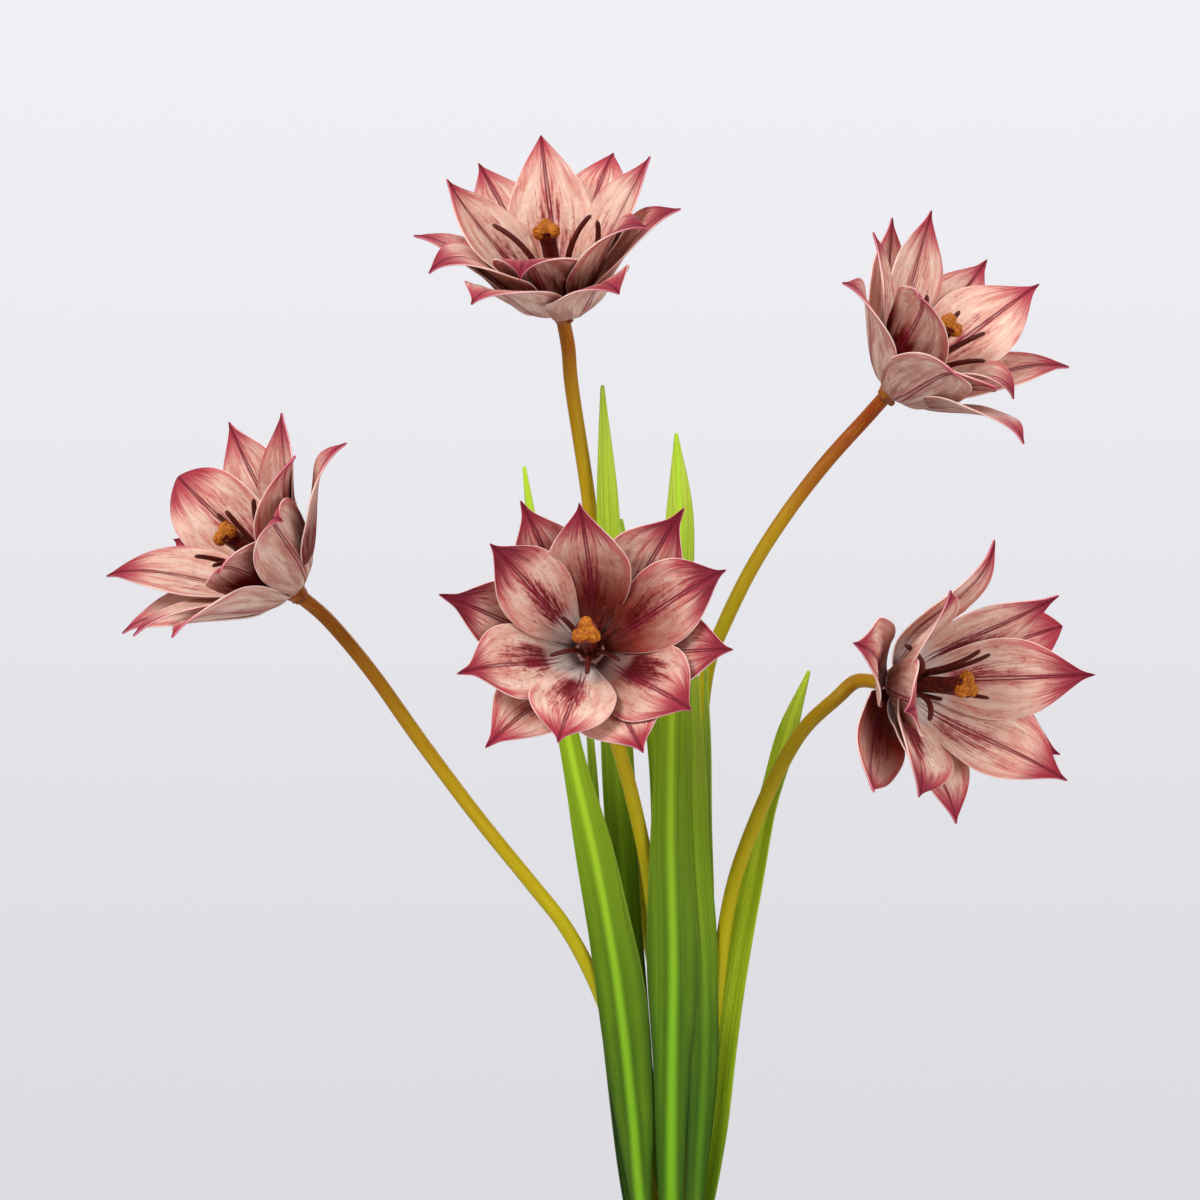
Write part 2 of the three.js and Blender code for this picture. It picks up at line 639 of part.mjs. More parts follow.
function pistilGeometry() {
  const pieces = [toSolid(turned([
    [0, PISTIL_LEVEL], [PISTIL_FOOT_RADIUS, PISTIL_LEVEL], [PISTIL_RADIUS, PISTIL_TOP / 2],
    [PISTIL_RADIUS, PISTIL_TOP - STIGMA_LOBE_RADIUS], [0, PISTIL_TOP - STIGMA_DIP],
  ], PISTIL_SIDES))];
  for (let k = 0; k < STIGMA_LOBES; k++) {
    const angle = (2 * Math.PI * k) / STIGMA_LOBES;
    const lobe = new THREE.SphereGeometry(STIGMA_LOBE_RADIUS, LOBE_SIDES, LOBE_ROWS);
    lobe.translate(STIGMA_LOBE_OFFSET * Math.cos(angle), STIGMA_LOBE_OFFSET * Math.sin(angle),
      PISTIL_TOP - STIGMA_LOBE_RADIUS);
    pieces.push(toSolid(lobe));
  }
  return toGeometry(wasm.Manifold.union(pieces));
}

function buildFlower(group, flower) {
  const axis = new THREE.Vector3(...flower.axis).normalize();
  const right = new THREE.Vector3(1, 0, 0).addScaledVector(axis, -axis.x).normalize();
  const up = new THREE.Vector3().crossVectors(axis, right);
  const head = new THREE.Group();
  head.quaternion.setFromRotationMatrix(new THREE.Matrix4().makeBasis(right, up, axis));
  head.position.copy(aboveFoot(flower.seat));
  group.add(head);

  const inner = mainBody(whorlSolid(INNER_WHORL, INNER_RING_LEVEL, flower.inner));
  const cutter = whorlSolid(INNER_WHORL, INNER_RING_LEVEL, flower.inner, SEAT_GAP);
  const outer = mainBody(whorlSolid(OUTER_WHORL, 0, flower.outer).subtract(cutter));
  addMesh(head, `receptacle_${flower.name}`, receptacleGeometry(), MATERIALS.receptacle);
  addMesh(head, `outer_petals_${flower.name}`, toGeometry(outer), MATERIALS.outerPetal);
  addMesh(head, `inner_petals_${flower.name}`, toGeometry(inner), MATERIALS.innerPetal);
  addMesh(head, `stamens_${flower.name}`, stamensGeometry(flower.stamenTurn), MATERIALS.stamen);
  addMesh(head, `pistil_${flower.name}`, pistilGeometry(), MATERIALS.pistil);
}

const bush = new THREE.Group();
addMesh(bush, "foot", footGeometry(), MATERIALS.foot);
addMesh(bush, "collar", collarGeometry(), MATERIALS.collar);
for (const flower of FLOWERS) {
  buildStem(bush, flower);
  buildFlower(bush, flower);
}
for (const leaf of LEAVES) buildLeaf(bush, leaf);
addMesh(bush, STEM_LEAF.name, strapGeometry(leafStations(STEM_LEAF), STEM_LEAF.face, 0), MATERIALS.leaf);

export default bush;
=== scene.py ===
import math

import bpy
import numpy as np
from mathutils import Matrix, Vector


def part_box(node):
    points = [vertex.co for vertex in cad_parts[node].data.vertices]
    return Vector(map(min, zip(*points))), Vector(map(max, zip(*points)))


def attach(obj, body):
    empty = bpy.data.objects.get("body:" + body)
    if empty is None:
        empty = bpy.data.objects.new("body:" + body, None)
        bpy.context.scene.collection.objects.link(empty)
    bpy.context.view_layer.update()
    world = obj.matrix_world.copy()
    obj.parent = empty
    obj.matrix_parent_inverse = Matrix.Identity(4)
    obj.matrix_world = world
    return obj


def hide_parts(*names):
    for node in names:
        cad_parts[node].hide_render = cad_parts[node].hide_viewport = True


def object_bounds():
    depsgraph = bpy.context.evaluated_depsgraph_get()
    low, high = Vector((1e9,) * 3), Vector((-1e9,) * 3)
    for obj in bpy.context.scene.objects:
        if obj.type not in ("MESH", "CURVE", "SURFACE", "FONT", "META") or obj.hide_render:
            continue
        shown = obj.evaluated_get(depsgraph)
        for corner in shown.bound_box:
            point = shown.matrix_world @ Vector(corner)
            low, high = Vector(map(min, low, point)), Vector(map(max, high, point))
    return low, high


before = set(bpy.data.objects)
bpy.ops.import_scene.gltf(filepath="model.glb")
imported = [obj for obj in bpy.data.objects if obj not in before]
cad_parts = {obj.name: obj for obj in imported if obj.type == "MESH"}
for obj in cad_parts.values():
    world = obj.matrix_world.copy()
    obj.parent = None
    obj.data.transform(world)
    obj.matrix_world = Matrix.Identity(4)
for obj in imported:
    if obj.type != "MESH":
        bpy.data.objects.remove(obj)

cad_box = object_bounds()

# Camera. The bush is seen level, from 1.6 m in front of the stems, with the foot below the
# picture's lower edge. 36 mm of sensor take in the 432 mm that the picture is wide there.
PICTURE_WIDTH = 0.432
PICTURE_CENTRE = (-0.0259, 0.3121)
CAMERA_DISTANCE = 1.6
SENSOR = 36

bpy.ops.object.camera_add(location=(PICTURE_CENTRE[0], -CAMERA_DISTANCE, PICTURE_CENTRE[1]),
                          rotation=(math.radians(90), 0, 0))
camera = bpy.context.object
camera.data.sensor_width = SENSOR
camera.data.lens = SENSOR * CAMERA_DISTANCE / PICTURE_WIDTH
bpy.context.scene.camera = camera
bpy.context.scene.view_settings.view_transform = "Standard"


# Backdrop, floor and lamps. A pale studio: the air behind the bush is a little darker low down,
# and a round of pale floor under the foot takes its shadow and fades into the backdrop.
def linear(colour):
    """The linear colour, with alpha, of an sRGB one that is written #rrggbb."""
    parts = [int(colour[k:k + 2], 16) / 255 for k in (1, 3, 5)]
    return (*(c / 12.92 if c <= 0.04045 else ((c + 0.055) / 1.055) ** 2.4 for c in parts), 1)


class Wire:
    """A socket of a shader node. Sums on it are written as Python sums, and add Math nodes."""

    def __init__(self, tree, socket):
        self.tree = tree
        self.socket = socket

    def node(self, kind, settings, *inputs, output=0, **named):
        return add_node(self.tree, kind, settings, *inputs, output=output, **named)

    def math(self, operation, *others, clamp=False):
        return self.node("ShaderNodeMath", {"operation": operation, "use_clamp": clamp}, self, *others)

    def __add__(self, other):
        return self.math("ADD", other)

    __radd__ = __add__

    def __mul__(self, other):
        return self.math("MULTIPLY", other)

    __rmul__ = __mul__

    def __sub__(self, other):
        return self.math("SUBTRACT", other)

    def __rsub__(self, other):
        return self.node("ShaderNodeMath", {"operation": "SUBTRACT"}, other, self)

    def __truediv__(self, other):
        return self.math("DIVIDE", other)

    def __abs__(self):
        return self.math("ABSOLUTE")

    def clamped(self):
        return self.math("ADD", 0, clamp=True)

    def rise(self, start, end):
        """0 at start and 1 at end, eased at both."""
        settings = {"interpolation_type": "SMOOTHSTEP"}
        return self.node("ShaderNodeMapRange", settings, self, start, end, 0, 1)


def add_node(tree, kind, settings, *inputs, output=0, **named):
    """Adds a node, sets it up, gives its sockets values or links, and returns one output."""
    node = tree.nodes.new(kind)
    for key, value in settings.items():
        setattr(node, key, value)
    for key, value in [*enumerate(inputs), *named.items()]:
        socket = node.inputs[key.replace("_", " ") if isinstance(key, str) else key]
        if isinstance(value, Wire):
            tree.links.new(value.socket, socket)
        elif value is not None:
            socket.default_value = value
    return None if output is None else Wire(tree, node.outputs[output])


def blend(mask, below, above, kind="MIX"):
    """The colour below, covered by the one above as far as mask says.

    A colour is a wire, #rrggbb, or a linear colour with alpha.
    """
    node = mask.tree.nodes.new("ShaderNodeMix")
    node.data_type = "RGBA"
    node.blend_type = kind
    for socket, value in ((node.inputs[0], mask), (node.inputs[6], below), (node.inputs[7], above)):
        if isinstance(value, Wire):
            mask.tree.links.new(value.socket, socket)
        else:
            socket.default_value = linear(value) if isinstance(value, str) else value
    return Wire(mask.tree, node.outputs[2])


def coated(colour, *coats):
    """A colour under some coats: pairs of how far the coat covers it and the coat's own colour."""
    for mask, coat in coats:
        colour = blend(mask, colour, coat)
    return colour


def own_place(tree):
    """Where a point is in the frame of its own piece."""
    return add_node(tree, "ShaderNodeTexCoord", {}, output="Object")


BACKDROP_HIGH = linear("#efeff4")
BACKDROP_LOW = linear("#dddce1")
BACKDROP_STRENGTH = 1.0
SKY_COLOUR = linear("#ffffff")
SKY_STRENGTH = 0.42
FLOOR_COLOUR = linear("#d6d6da")
FLOOR_RADIUS = 0.6
FLOOR_FADE = (0.2, 0.56)
FLOOR_LEVEL = -0.0002

world = bpy.data.worlds.new("studio")
bpy.context.scene.world = world
world.use_nodes = True
tree = world.node_tree
tree.nodes.clear()
direction = add_node(tree, "ShaderNodeTexCoord", {})
height = add_node(tree, "ShaderNodeSeparateXYZ", {}, direction, output=2)
picture_colour = blend(height.rise(-0.14, 0.14), BACKDROP_LOW, BACKDROP_HIGH)
seen = add_node(tree, "ShaderNodeLightPath", {}, output="Is Camera Ray")
for kind in ("Is Glossy Ray", "Is Transmission Ray"):
    seen = (seen + add_node(tree, "ShaderNodeLightPath", {}, output=kind)).clamped()
light = add_node(tree, "ShaderNodeBackground", {}, SKY_COLOUR, SKY_STRENGTH)
picture = add_node(tree, "ShaderNodeBackground", {}, picture_colour, BACKDROP_STRENGTH)
shown = add_node(tree, "ShaderNodeMixShader", {}, seen, light, picture)
add_node(tree, "ShaderNodeOutputWorld", {}, shown, output=None)

bpy.ops.mesh.primitive_circle_add(vertices=96, radius=FLOOR_RADIUS, fill_type="NGON",
                                  location=(0, 0, FLOOR_LEVEL))
floor = bpy.context.object
floor.name = "floor"
material = bpy.data.materials.new("pale_floor")
material.use_nodes = True
tree = material.node_tree
tree.nodes.clear()
place = own_place(tree)
radius = add_node(tree, "ShaderNodeVectorMath", {"operation": "LENGTH"}, place, output=1)
diffuse = add_node(tree, "ShaderNodeBsdfDiffuse", {}, FLOOR_COLOUR)
glow = add_node(tree, "ShaderNodeEmission", {}, BACKDROP_LOW, BACKDROP_STRENGTH)
faded = add_node(tree, "ShaderNodeMixShader", {}, radius.rise(*FLOOR_FADE), diffuse, glow)
add_node(tree, "ShaderNodeOutputMaterial", {}, faded, output=None)
floor.data.materials.append(material)


def lamp(name, place, aim, size, power):
    """A square soft box that points from its place at its aim."""
    bpy.ops.object.light_add(type="AREA", location=place)
    box = bpy.context.object
    box.name = name
    box.rotation_euler = (Vector(aim) - Vector(place)).to_track_quat("-Z", "Y").to_euler()
    box.data.size = size
    box.data.energy = power


BUSH_MIDDLE = (-0.03, 0, 0.33)
lamp("key_box", (-0.9, -1.1, 1.35), BUSH_MIDDLE, 0.9, 23)
lamp("fill_box", (1.2, -1.2, 0.5), BUSH_MIDDLE, 1.2, 13)
lamp("back_box", (0.3, 1.2, 1.2), BUSH_MIDDLE, 0.9, 11)


# Foot. A moulded stub of green plastic: a stalk, a flange that carries the leaves' roots and the
# collar, and a head with a socket for each stem. Pieces are made with Blender's primitives.
MM = 0.001
STALK_RADIUS = 5.5 * MM
FLANGE_LEVEL = 48 * MM
FLANGE_THICKNESS = 3 * MM
FOOT_HEAD_RADIUS = 8.05 * MM
FOOT_ROUNDING = 0.5 * MM
ROUND_SIDES = 48
SHARP_ANGLE = math.radians(40)
FOOT_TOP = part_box("foot")[1].z
FLANGE_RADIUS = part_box("foot")[1].x


def only(piece):
    """Selects this piece alone and makes it the active one."""
    bpy.ops.object.select_all(action="DESELECT")
    piece.select_set(True)
    bpy.context.view_layer.objects.active = piece


def apply_modifiers(piece):
    only(piece)
    for modifier in list(piece.modifiers):
        bpy.ops.object.modifier_apply(modifier=modifier.name)


def joined(pieces):
    """One piece made of several."""
    bpy.ops.object.select_all(action="DESELECT")
    for piece in pieces:
        piece.select_set(True)
    bpy.context.view_layer.objects.active = pieces[0]
    bpy.ops.object.join()
    return pieces[0]


def primitive(add, name, **settings):
    """A primitive, with its mesh in place and its origin at zero."""
    bpy.ops.object.select_all(action="DESELECT")
    add(**settings)
    bpy.ops.object.transform_apply()
    piece = bpy.context.object
    piece.name = name
    return piece


def round_rims(piece, width, segments=3):
    rim = piece.modifiers.new("rim", "BEVEL")
    rim.width = width
    rim.segments = segments
    rim.angle_limit = SHARP_ANGLE
    apply_modifiers(piece)


def disc(name, radius, bottom, top, rounding, top_radius=None):
    """An upright round block with rounded rims."""
    piece = primitive(bpy.ops.mesh.primitive_cone_add, name, vertices=ROUND_SIDES, radius1=radius,
                      radius2=top_radius or radius, depth=top - bottom,
                      location=(0, 0, (top + bottom) / 2))
    round_rims(piece, rounding)
    return piece


def smooth(piece, degrees=180):
    only(piece)
    bpy.ops.object.shade_smooth_by_angle(angle=math.radians(degrees))


def new_finish(name, roughness, **constants):
    """A material with one Principled shader. Returns it with its tree and shader."""
    material = bpy.data.materials.new(name)
    material.use_nodes = True
    shader = material.node_tree.nodes["Principled BSDF"]
    shader.inputs["Roughness"].default_value = roughness
    for key, value in constants.items():
        shader.inputs[key.replace("_", " ")].default_value = value
    return material, material.node_tree, shader


def painted(tree, shader, colour, height=None, depth=0.0002):
    """Sends a colour to the shader, and a height map to its bump."""
    tree.links.new(colour.socket, shader.inputs["Base Color"])
    if height is not None:
        bump = add_node(tree, "ShaderNodeBump", {}, Strength=1.0, Distance=depth, Height=height)
        tree.links.new(bump.socket, shader.inputs["Normal"])


def noise(where, scale, detail=3.0, roughness=0.55, distortion=0.0):
    return where.node("ShaderNodeTexNoise", {}, where, Scale=scale, Detail=detail,
                      Roughness=roughness, Distortion=distortion)


def vector(x, y, z=0.0):
    first = next(part for part in (x, y, z) if isinstance(part, Wire))
    return first.node("ShaderNodeCombineXYZ", {}, x, y, z)


def moulded_green(name, dark, light):
    """Green plastic, slightly mottled, a little glossy."""
    material, tree, shader = new_finish(name, 0.42)
    place = own_place(tree)
    cloud = noise(place, 90.0, 4.0)
    grain = noise(place, 900.0, 3.0)
    painted(tree, shader, blend(cloud.rise(0.35, 0.7), dark, light), grain, 0.00008)
    return material


stalk = disc("foot", STALK_RADIUS, 0, FLANGE_LEVEL + FLANGE_THICKNESS / 2, FOOT_ROUNDING)
flange = disc("flange", FLANGE_RADIUS, FLANGE_LEVEL, FLANGE_LEVEL + FLANGE_THICKNESS, FOOT_ROUNDING)
head = disc("foot_head", FOOT_HEAD_RADIUS, FLANGE_LEVEL + FLANGE_THICKNESS / 2, FOOT_TOP, FOOT_ROUNDING)
foot = joined([stalk, flange, head])
smooth(foot, 40)
foot.data.materials.append(moulded_green("foot_green", "#48681b", "#698d2a"))
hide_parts("foot")
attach(foot, "base")


# Collar. A thin sleeve of the foot's green plastic, a tube with a wall and rounded rims. It stands
# on the flange and clasps the leaves' roots.
COLLAR_ROUNDING = 0.35 * MM
COLLAR_WALL = 1.2 * MM
low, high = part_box("collar")
collar = primitive(bpy.ops.mesh.primitive_cylinder_add, "collar", vertices=64, radius=high.x,
                   depth=high.z - low.z, end_fill_type="NOTHING", location=(0, 0, (high.z + low.z) / 2))
wall = collar.modifiers.new("wall", "SOLIDIFY")
wall.thickness = COLLAR_WALL
wall.offset = -1
round_rims(collar, COLLAR_ROUNDING)
smooth(collar, 40)
collar.data.materials.append(moulded_green("collar_green", "#547820", "#7da637"))
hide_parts("collar")
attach(collar, "base")


# Flowers. Where each one sits: the point where its petals meet, the way that it faces, and where
# its stem stands in the foot. Heights are above the top of the foot. Millimetres.
HEADS = {
    "top": {"seat": (-40, 5, 351.5), "axis": (-0.15, -0.58, 0.8), "turn": 126},
    "right": {"seat": (80.2, 10, 322.9), "axis": (0.58, -0.48, 0.66), "turn": 54},
    "left": {"seat": (-136.8, 0, 250.1), "axis": (-0.68, -0.42, 0.6), "turn": 198},
    "front": {"seat": (-29, -45, 227.9), "axis": (-0.05, -0.97, 0.22), "turn": 270},
    "low": {"seat": (76.6, -45, 217.1), "axis": (0.71, -0.7, -0.02), "turn": 342},
}


def above_foot(points):
    """Points given from the top of the foot, as an array in the frame of the whole bush."""
    return np.array(points, float) + (0, 0, FOOT_TOP / MM)


def head_matrix(name):
    """From a flower's own frame, whose Z is its axis, to the frame of the bush, in metres."""
    axis = Vector(HEADS[name]["axis"]).normalized()
    right = (Vector((1, 0, 0)) - axis * axis.x).normalized()
    turned = Matrix((right, axis.cross(right), axis)).transposed().to_4x4()
    return Matrix.Translation(Vector(above_foot(HEADS[name]["seat"])) * MM) @ turned @ Matrix.Scale(MM, 4)


def bent_grid(name, columns, rows, place):
    """A flat grid, bent so that each point lies where place(u, v) says, in the bush's metres.

    u goes from -1 to 1 across and v from 0 to 1 along, and so does its UV map, from 0.
    """
    piece = primitive(bpy.ops.mesh.primitive_grid_add, name, x_subdivisions=columns,
                      y_subdivisions=rows, size=2)
    flat = np.empty(len(piece.data.vertices) * 3)
    piece.data.vertices.foreach_get("co", flat)
    flat = flat.reshape(-1, 3)
    piece.data.vertices.foreach_set("co", place(flat[:, 0], (flat[:, 1] + 1) / 2).ravel())
    piece.data.update()
    return piece


def own_map(tree, name):
    """The two numbers that a UV map of the piece holds."""
    pair = add_node(tree, "ShaderNodeUVMap", {"uv_map": name})
    return (add_node(tree, "ShaderNodeSeparateXYZ", {}, pair, output=0),
            add_node(tree, "ShaderNodeSeparateXYZ", {}, pair, output=1))


def corner_points(piece):
    """Which point of the mesh each corner of its faces lies at."""
    corners = np.empty(len(piece.data.loops), int)
    piece.data.loops.foreach_get("vertex_index", corners)
    return corners


def add_map(piece, name, first, second):
    """A UV map with a pair of numbers for each point of the mesh."""
    layer = piece.data.uv_layers.new(name=name)
    corners = corner_points(piece)
    pairs = np.stack([np.broadcast_to(first, len(piece.data.vertices))[corners],
                      np.broadcast_to(second, len(piece.data.vertices))[corners]], axis=1)
    layer.data.foreach_set("uv", pairs.astype(np.float32).ravel())


def grid_places(piece):
    """(u, v) of each point of a bent grid, read back from its UV map."""
    corners = corner_points(piece)
    flat = np.empty(len(corners) * 2)
    piece.data.uv_layers["UVMap"].data.foreach_get("uv", flat)
    flat = flat.reshape(-1, 2)
    u, v = np.empty(len(piece.data.vertices)), np.empty(len(piece.data.vertices))
    u[corners], v[corners] = flat[:, 0] * 2 - 1, flat[:, 1]
    return u, v


def thicken(sheet, thickness, **settings):
    """Gives a bent sheet its thickness, half to each side, and rounds its edges."""
    body = sheet.modifiers.new("thickness", "SOLIDIFY")
    body.thickness = thickness
    body.offset = 0
    for key, value in settings.items():
        setattr(body, key, value)
    rounded = sheet.modifiers.new("rounded", "SUBSURF")
    rounded.levels = rounded.render_levels = 1
    apply_modifiers(sheet)


# Stems. A steel wire in a soft plastic coat, olive yellow and brown near the flower, bent along its
# route (millimetres above the foot) from foot to receptacle, where the wire ends. STEM_SLIMMING
# thins the coat near the foot and in its socket: by which share, and up to which share of its way.
STEM_RADIUS = 2.6
STEM_CIRCLE_RADIUS = 5.0
STEM_START = 0.3
STEM_STRAIGHT = 14
STEM_SIDES = 20
STEM_ROWS = 160
STEM_EASING = 60
LINE_POINTS = 400
STEM_UNEVENNESS = 0.015
STEM_WAVES = ((0.5, 23), (0.3, 51))
STEM_SLIMMING = ((0.1, 0.25), (0.15, 0.005))
WIRE_RADIUS = 1.0
WIRE_SIDES = 10
WIRE_ROWS = 120
ROOT_PEG = 2.4
NECK_PEG = 4
RECEPTACLE_LENGTH = 5
NECK_STRAIGHT = 12
STEMS = {
    "top": {"brown": 0.55, "route": [
        (-2.4, 6, 54), (-3.4, 9.5, 94), (-9, 12.5, 129), (-20.5, 14, 192), (-29.5, 14, 279),
        (-36.5, 13, 326)]},
    "right": {"brown": 0.8, "route": [
        (3.8, 6, 54), (5.5, 8.5, 104), (8.5, 11.5, 159), (13, 14, 221), (19.5, 15, 238),
        (30, 16.5, 259), (43, 17.5, 279), (57, 18, 297)]},
    "left": {"brown": 0.6, "route": [
        (-7.6, -2.6, 32), (-14, -4.6, 65), (-23.5, -6.2, 99), (-37, -6.5, 127), (-51, -5.5, 145),
        (-69, -3.5, 167), (-91, 0.5, 196), (-109, 4.5, 221)]},
    "front": {"brown": 0.25, "route": [
        (-0.8, -6.2, 49), (-3, -8.6, 99), (-8.4, -11, 147), (-14.2, -13.5, 175), (-20, -18, 196),
        (-25.5, -25, 213)]},
    "low": {"brown": 0.3, "route": [
        (8.3, -2.2, 32), (11.6, -3.6, 66), (15.6, -5.8, 103), (20.9, -10.5, 141), (28.2, -16.8, 164),
        (37.2, -23.5, 185), (46.5, -29, 201), (58, -33.5, 212)]},
}


def through(points, share, even=False):
    """Points on a smooth curve through these, where share runs evenly over the stretches between.

    With even, the stretches count as equally long, as they do for a list of widths.
    """
    points = np.array(points, float)
    ends = np.vstack([2 * points[0] - points[1], points, 2 * points[-1] - points[-2]])
    place = np.clip(share, 0, 1) * (len(points) - 1)
    first = np.minimum(place.astype(int), len(points) - 2)
    t = (place - first)[:, None]
    a, b, c, d = (ends[first + k] for k in range(4))
    spans = [np.linalg.norm(q - p, axis=1)[:, None] ** 0.5 for p, q in ((a, b), (b, c), (c, d))]
    if even:
        spans = [np.ones_like(t)] * 3
    before, here, after = spans
    leave = ((b - a) / before - (c - a) / (before + here) + (c - b) / here) * here
    arrive = ((c - b) / here - (d - b) / (here + after) + (d - c) / after) * here
    return (b + leave * t + (3 * (c - b) - 2 * leave - arrive) * t ** 2
            + (2 * (b - c) + leave + arrive) * t ** 3)


def directions(line):
    """The way that a line runs at each of its points, of length 1."""
    ways = np.gradient(line, axis=0)
    return ways / np.linalg.norm(ways, axis=1)[:, None]


def at_share(v, steps, rows):
    """Points or directions in rows, one for each of the steps, read at the shares v."""
    return np.stack([np.interp(v, steps, rows[:, k]) for k in range(3)], axis=1)


def swept(name, line, radius, sides, rows, flat=1.0):
    """A closed round bar along a line of points, as thick as radius(v) says at each.

    It is flattened across its way by the share flat.
    """
    forward = directions(line)
    aside = np.empty_like(line)
    guide = np.cross(forward[0], (0.0, 1.0, 0.0))
    if np.linalg.norm(guide) < 0.1:
        guide = np.cross(forward[0], (1.0, 0.0, 0.0))
    for k, ahead in enumerate(forward):
        guide = guide - ahead * (guide @ ahead)
        guide = guide / np.linalg.norm(guide)
        aside[k] = guide
    across = np.cross(forward, aside)
    steps = np.linspace(0, 1, len(line))

    def place(u, v):
        thick = radius(v)
        return (at_share(v, steps, line)
                + at_share(v, steps, aside) * (thick * np.cos(np.pi * u))[:, None]
                + at_share(v, steps, across) * (thick * flat * np.sin(np.pi * u))[:, None])

    piece = bent_grid(name, sides, rows, place)
    only(piece)
    bpy.ops.object.mode_set(mode="EDIT")
    bpy.ops.mesh.select_all(action="SELECT")
    bpy.ops.mesh.remove_doubles(threshold=1e-5)
    bpy.ops.mesh.select_all(action="SELECT")
    bpy.ops.mesh.fill_holes(sides=0)
    bpy.ops.mesh.select_all(action="SELECT")
    bpy.ops.mesh.normals_make_consistent(inside=False)
    bpy.ops.object.mode_set(mode="OBJECT")
    return piece


def stem_line(name):
    """The middle line of a stem, in millimetres of the bush's frame."""
    flower = HEADS[name]
    turn = math.radians(flower["turn"])
    axis = np.array(flower["axis"]) / np.linalg.norm(flower["axis"])
    root = np.array((STEM_CIRCLE_RADIUS * math.cos(turn), STEM_CIRCLE_RADIUS * math.sin(turn),
                     STEM_START))
    neck = np.array(flower["seat"]) - axis * (RECEPTACLE_LENGTH + STEM_START)
    points = [root, root + (0, 0, STEM_STRAIGHT), *STEMS[name]["route"],
              neck - axis * NECK_STRAIGHT, neck]
    line = above_foot(through(points, np.linspace(0, 1, LINE_POINTS)))
    for _ in range(STEM_EASING):
        line[1:-1] = (line[:-2] + 2 * line[1:-1] + line[2:]) / 4
    return line


stem_finish, tree, shader = new_finish("stem_coat", 0.45, Specular_IOR_Level=0.12)
across, along = own_map(tree, "UVMap")
seed, brown = own_map(tree, "stem")
streaks = noise(vector(across * 7, along * 7, seed), 3.0, 2.0)
clouds = noise(vector(across * 2, along * 9, seed * 3), 2.2, 3.0)
tone = along + (clouds - 0.5) * 0.12
colour = coated(
    blend(tone.rise(0.1, 0.6), "#a2a212", "#b4a20d"),
    (tone.rise(0.42, 0.95) * (brown + 0.15), "#ad6c11"),
    (tone.rise(0.6, 0.95) * (brown + 0.1), "#92340e"),
    (streaks.rise(0.5, 0.8) * 0.25, "#6c540a"),
    (streaks.rise(0.5, 0.25) * 0.2, "#ceb730"))
painted(tree, shader, colour, clouds, 0.0001)

wire_finish, tree, shader = new_finish("wire_steel", 0.35, Metallic=1.0)
place = own_place(tree)
painted(tree, shader, blend(noise(place, 700.0), "#8d8f92", "#b4b6b8"))

for order, name in enumerate(STEMS):
    def girth(v, phase=order * 1.7):
        uneven = sum(height * np.sin(rate * v + (k + 1) * phase)
                     for k, (height, rate) in enumerate(STEM_WAVES))
        slim = sum(share * np.clip(1 - v / until, 0, 1) for share, until in STEM_SLIMMING)
        return STEM_RADIUS * MM * (1 + STEM_UNEVENNESS * uneven - slim)

    line = stem_line(name)
    stem = swept(f"stem_coat_{name}", line * MM, girth, STEM_SIDES, STEM_ROWS)
    add_map(stem, "stem", order * 2.3, STEMS[name]["brown"])
    smooth(stem, 60)
    stem.data.materials.append(stem_finish)
    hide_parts(f"stem_{name}")
    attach(stem, f"stem_{name}")
    ahead = (line[-1] - line[-2]) / np.linalg.norm(line[-1] - line[-2])
    core = np.vstack([line[0] - (0, 0, ROOT_PEG), line, line[-1] + ahead * NECK_PEG])
    wire = swept(f"steel_{name}", core * MM, lambda v: np.full_like(v, WIRE_RADIUS * MM),
                 WIRE_SIDES, WIRE_ROWS)
    smooth(wire, 60)
    wire.data.materials.append(wire_finish)
    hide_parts(f"stem_wire_{name}")
    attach(wire, f"stem_{name}")


# Leaves. Straps of green foam sheet: seven are held by the collar and one by the low stem. They are
# dark at the sides, with a lime band along the middle that narrows upwards, and lime at the tip.
# Low down they carry painted shade, darkest along the middle and at their edges between the leaves,
# and a painted highlight runs along their upper edges. Each leaf's tone, how light its green is, is
# partly its own colour and partly painted light and shade for where the leaf stands in the bush.
# Stations are (x, y, height above the foot, width), in millimetres, on a smooth line.
LEAF_ROOT_LEVELS = (-14.7, -7.35, 0)
OUTER_ROOT_RADIUS = 10.65
INNER_ROOT_RADIUS = 9.1
LEAF_TIP_WIDTH = 1.2
LEAF_THICKNESS = 0.9
LEAF_FOLDS = (0.22, 0.16)
LEAF_FULLNESS = ((0.3, 0.4, 0.5, 0.6), (1.02, 1.07, 1.06, 1))
LEAF_RIPPLE = 0.16
LEAF_RIPPLE_RATE = 31
LEAF_SWELL = 0.2
LEAF_SWELL_RATE = 9
LEAF_SWELL_HALF_WIDTH = 6
LEAF_EDGE_WAVE = 0.06
LEAF_EDGE_RATE = 24
LEAF_COLUMNS = 12
LEAF_ROWS = 90
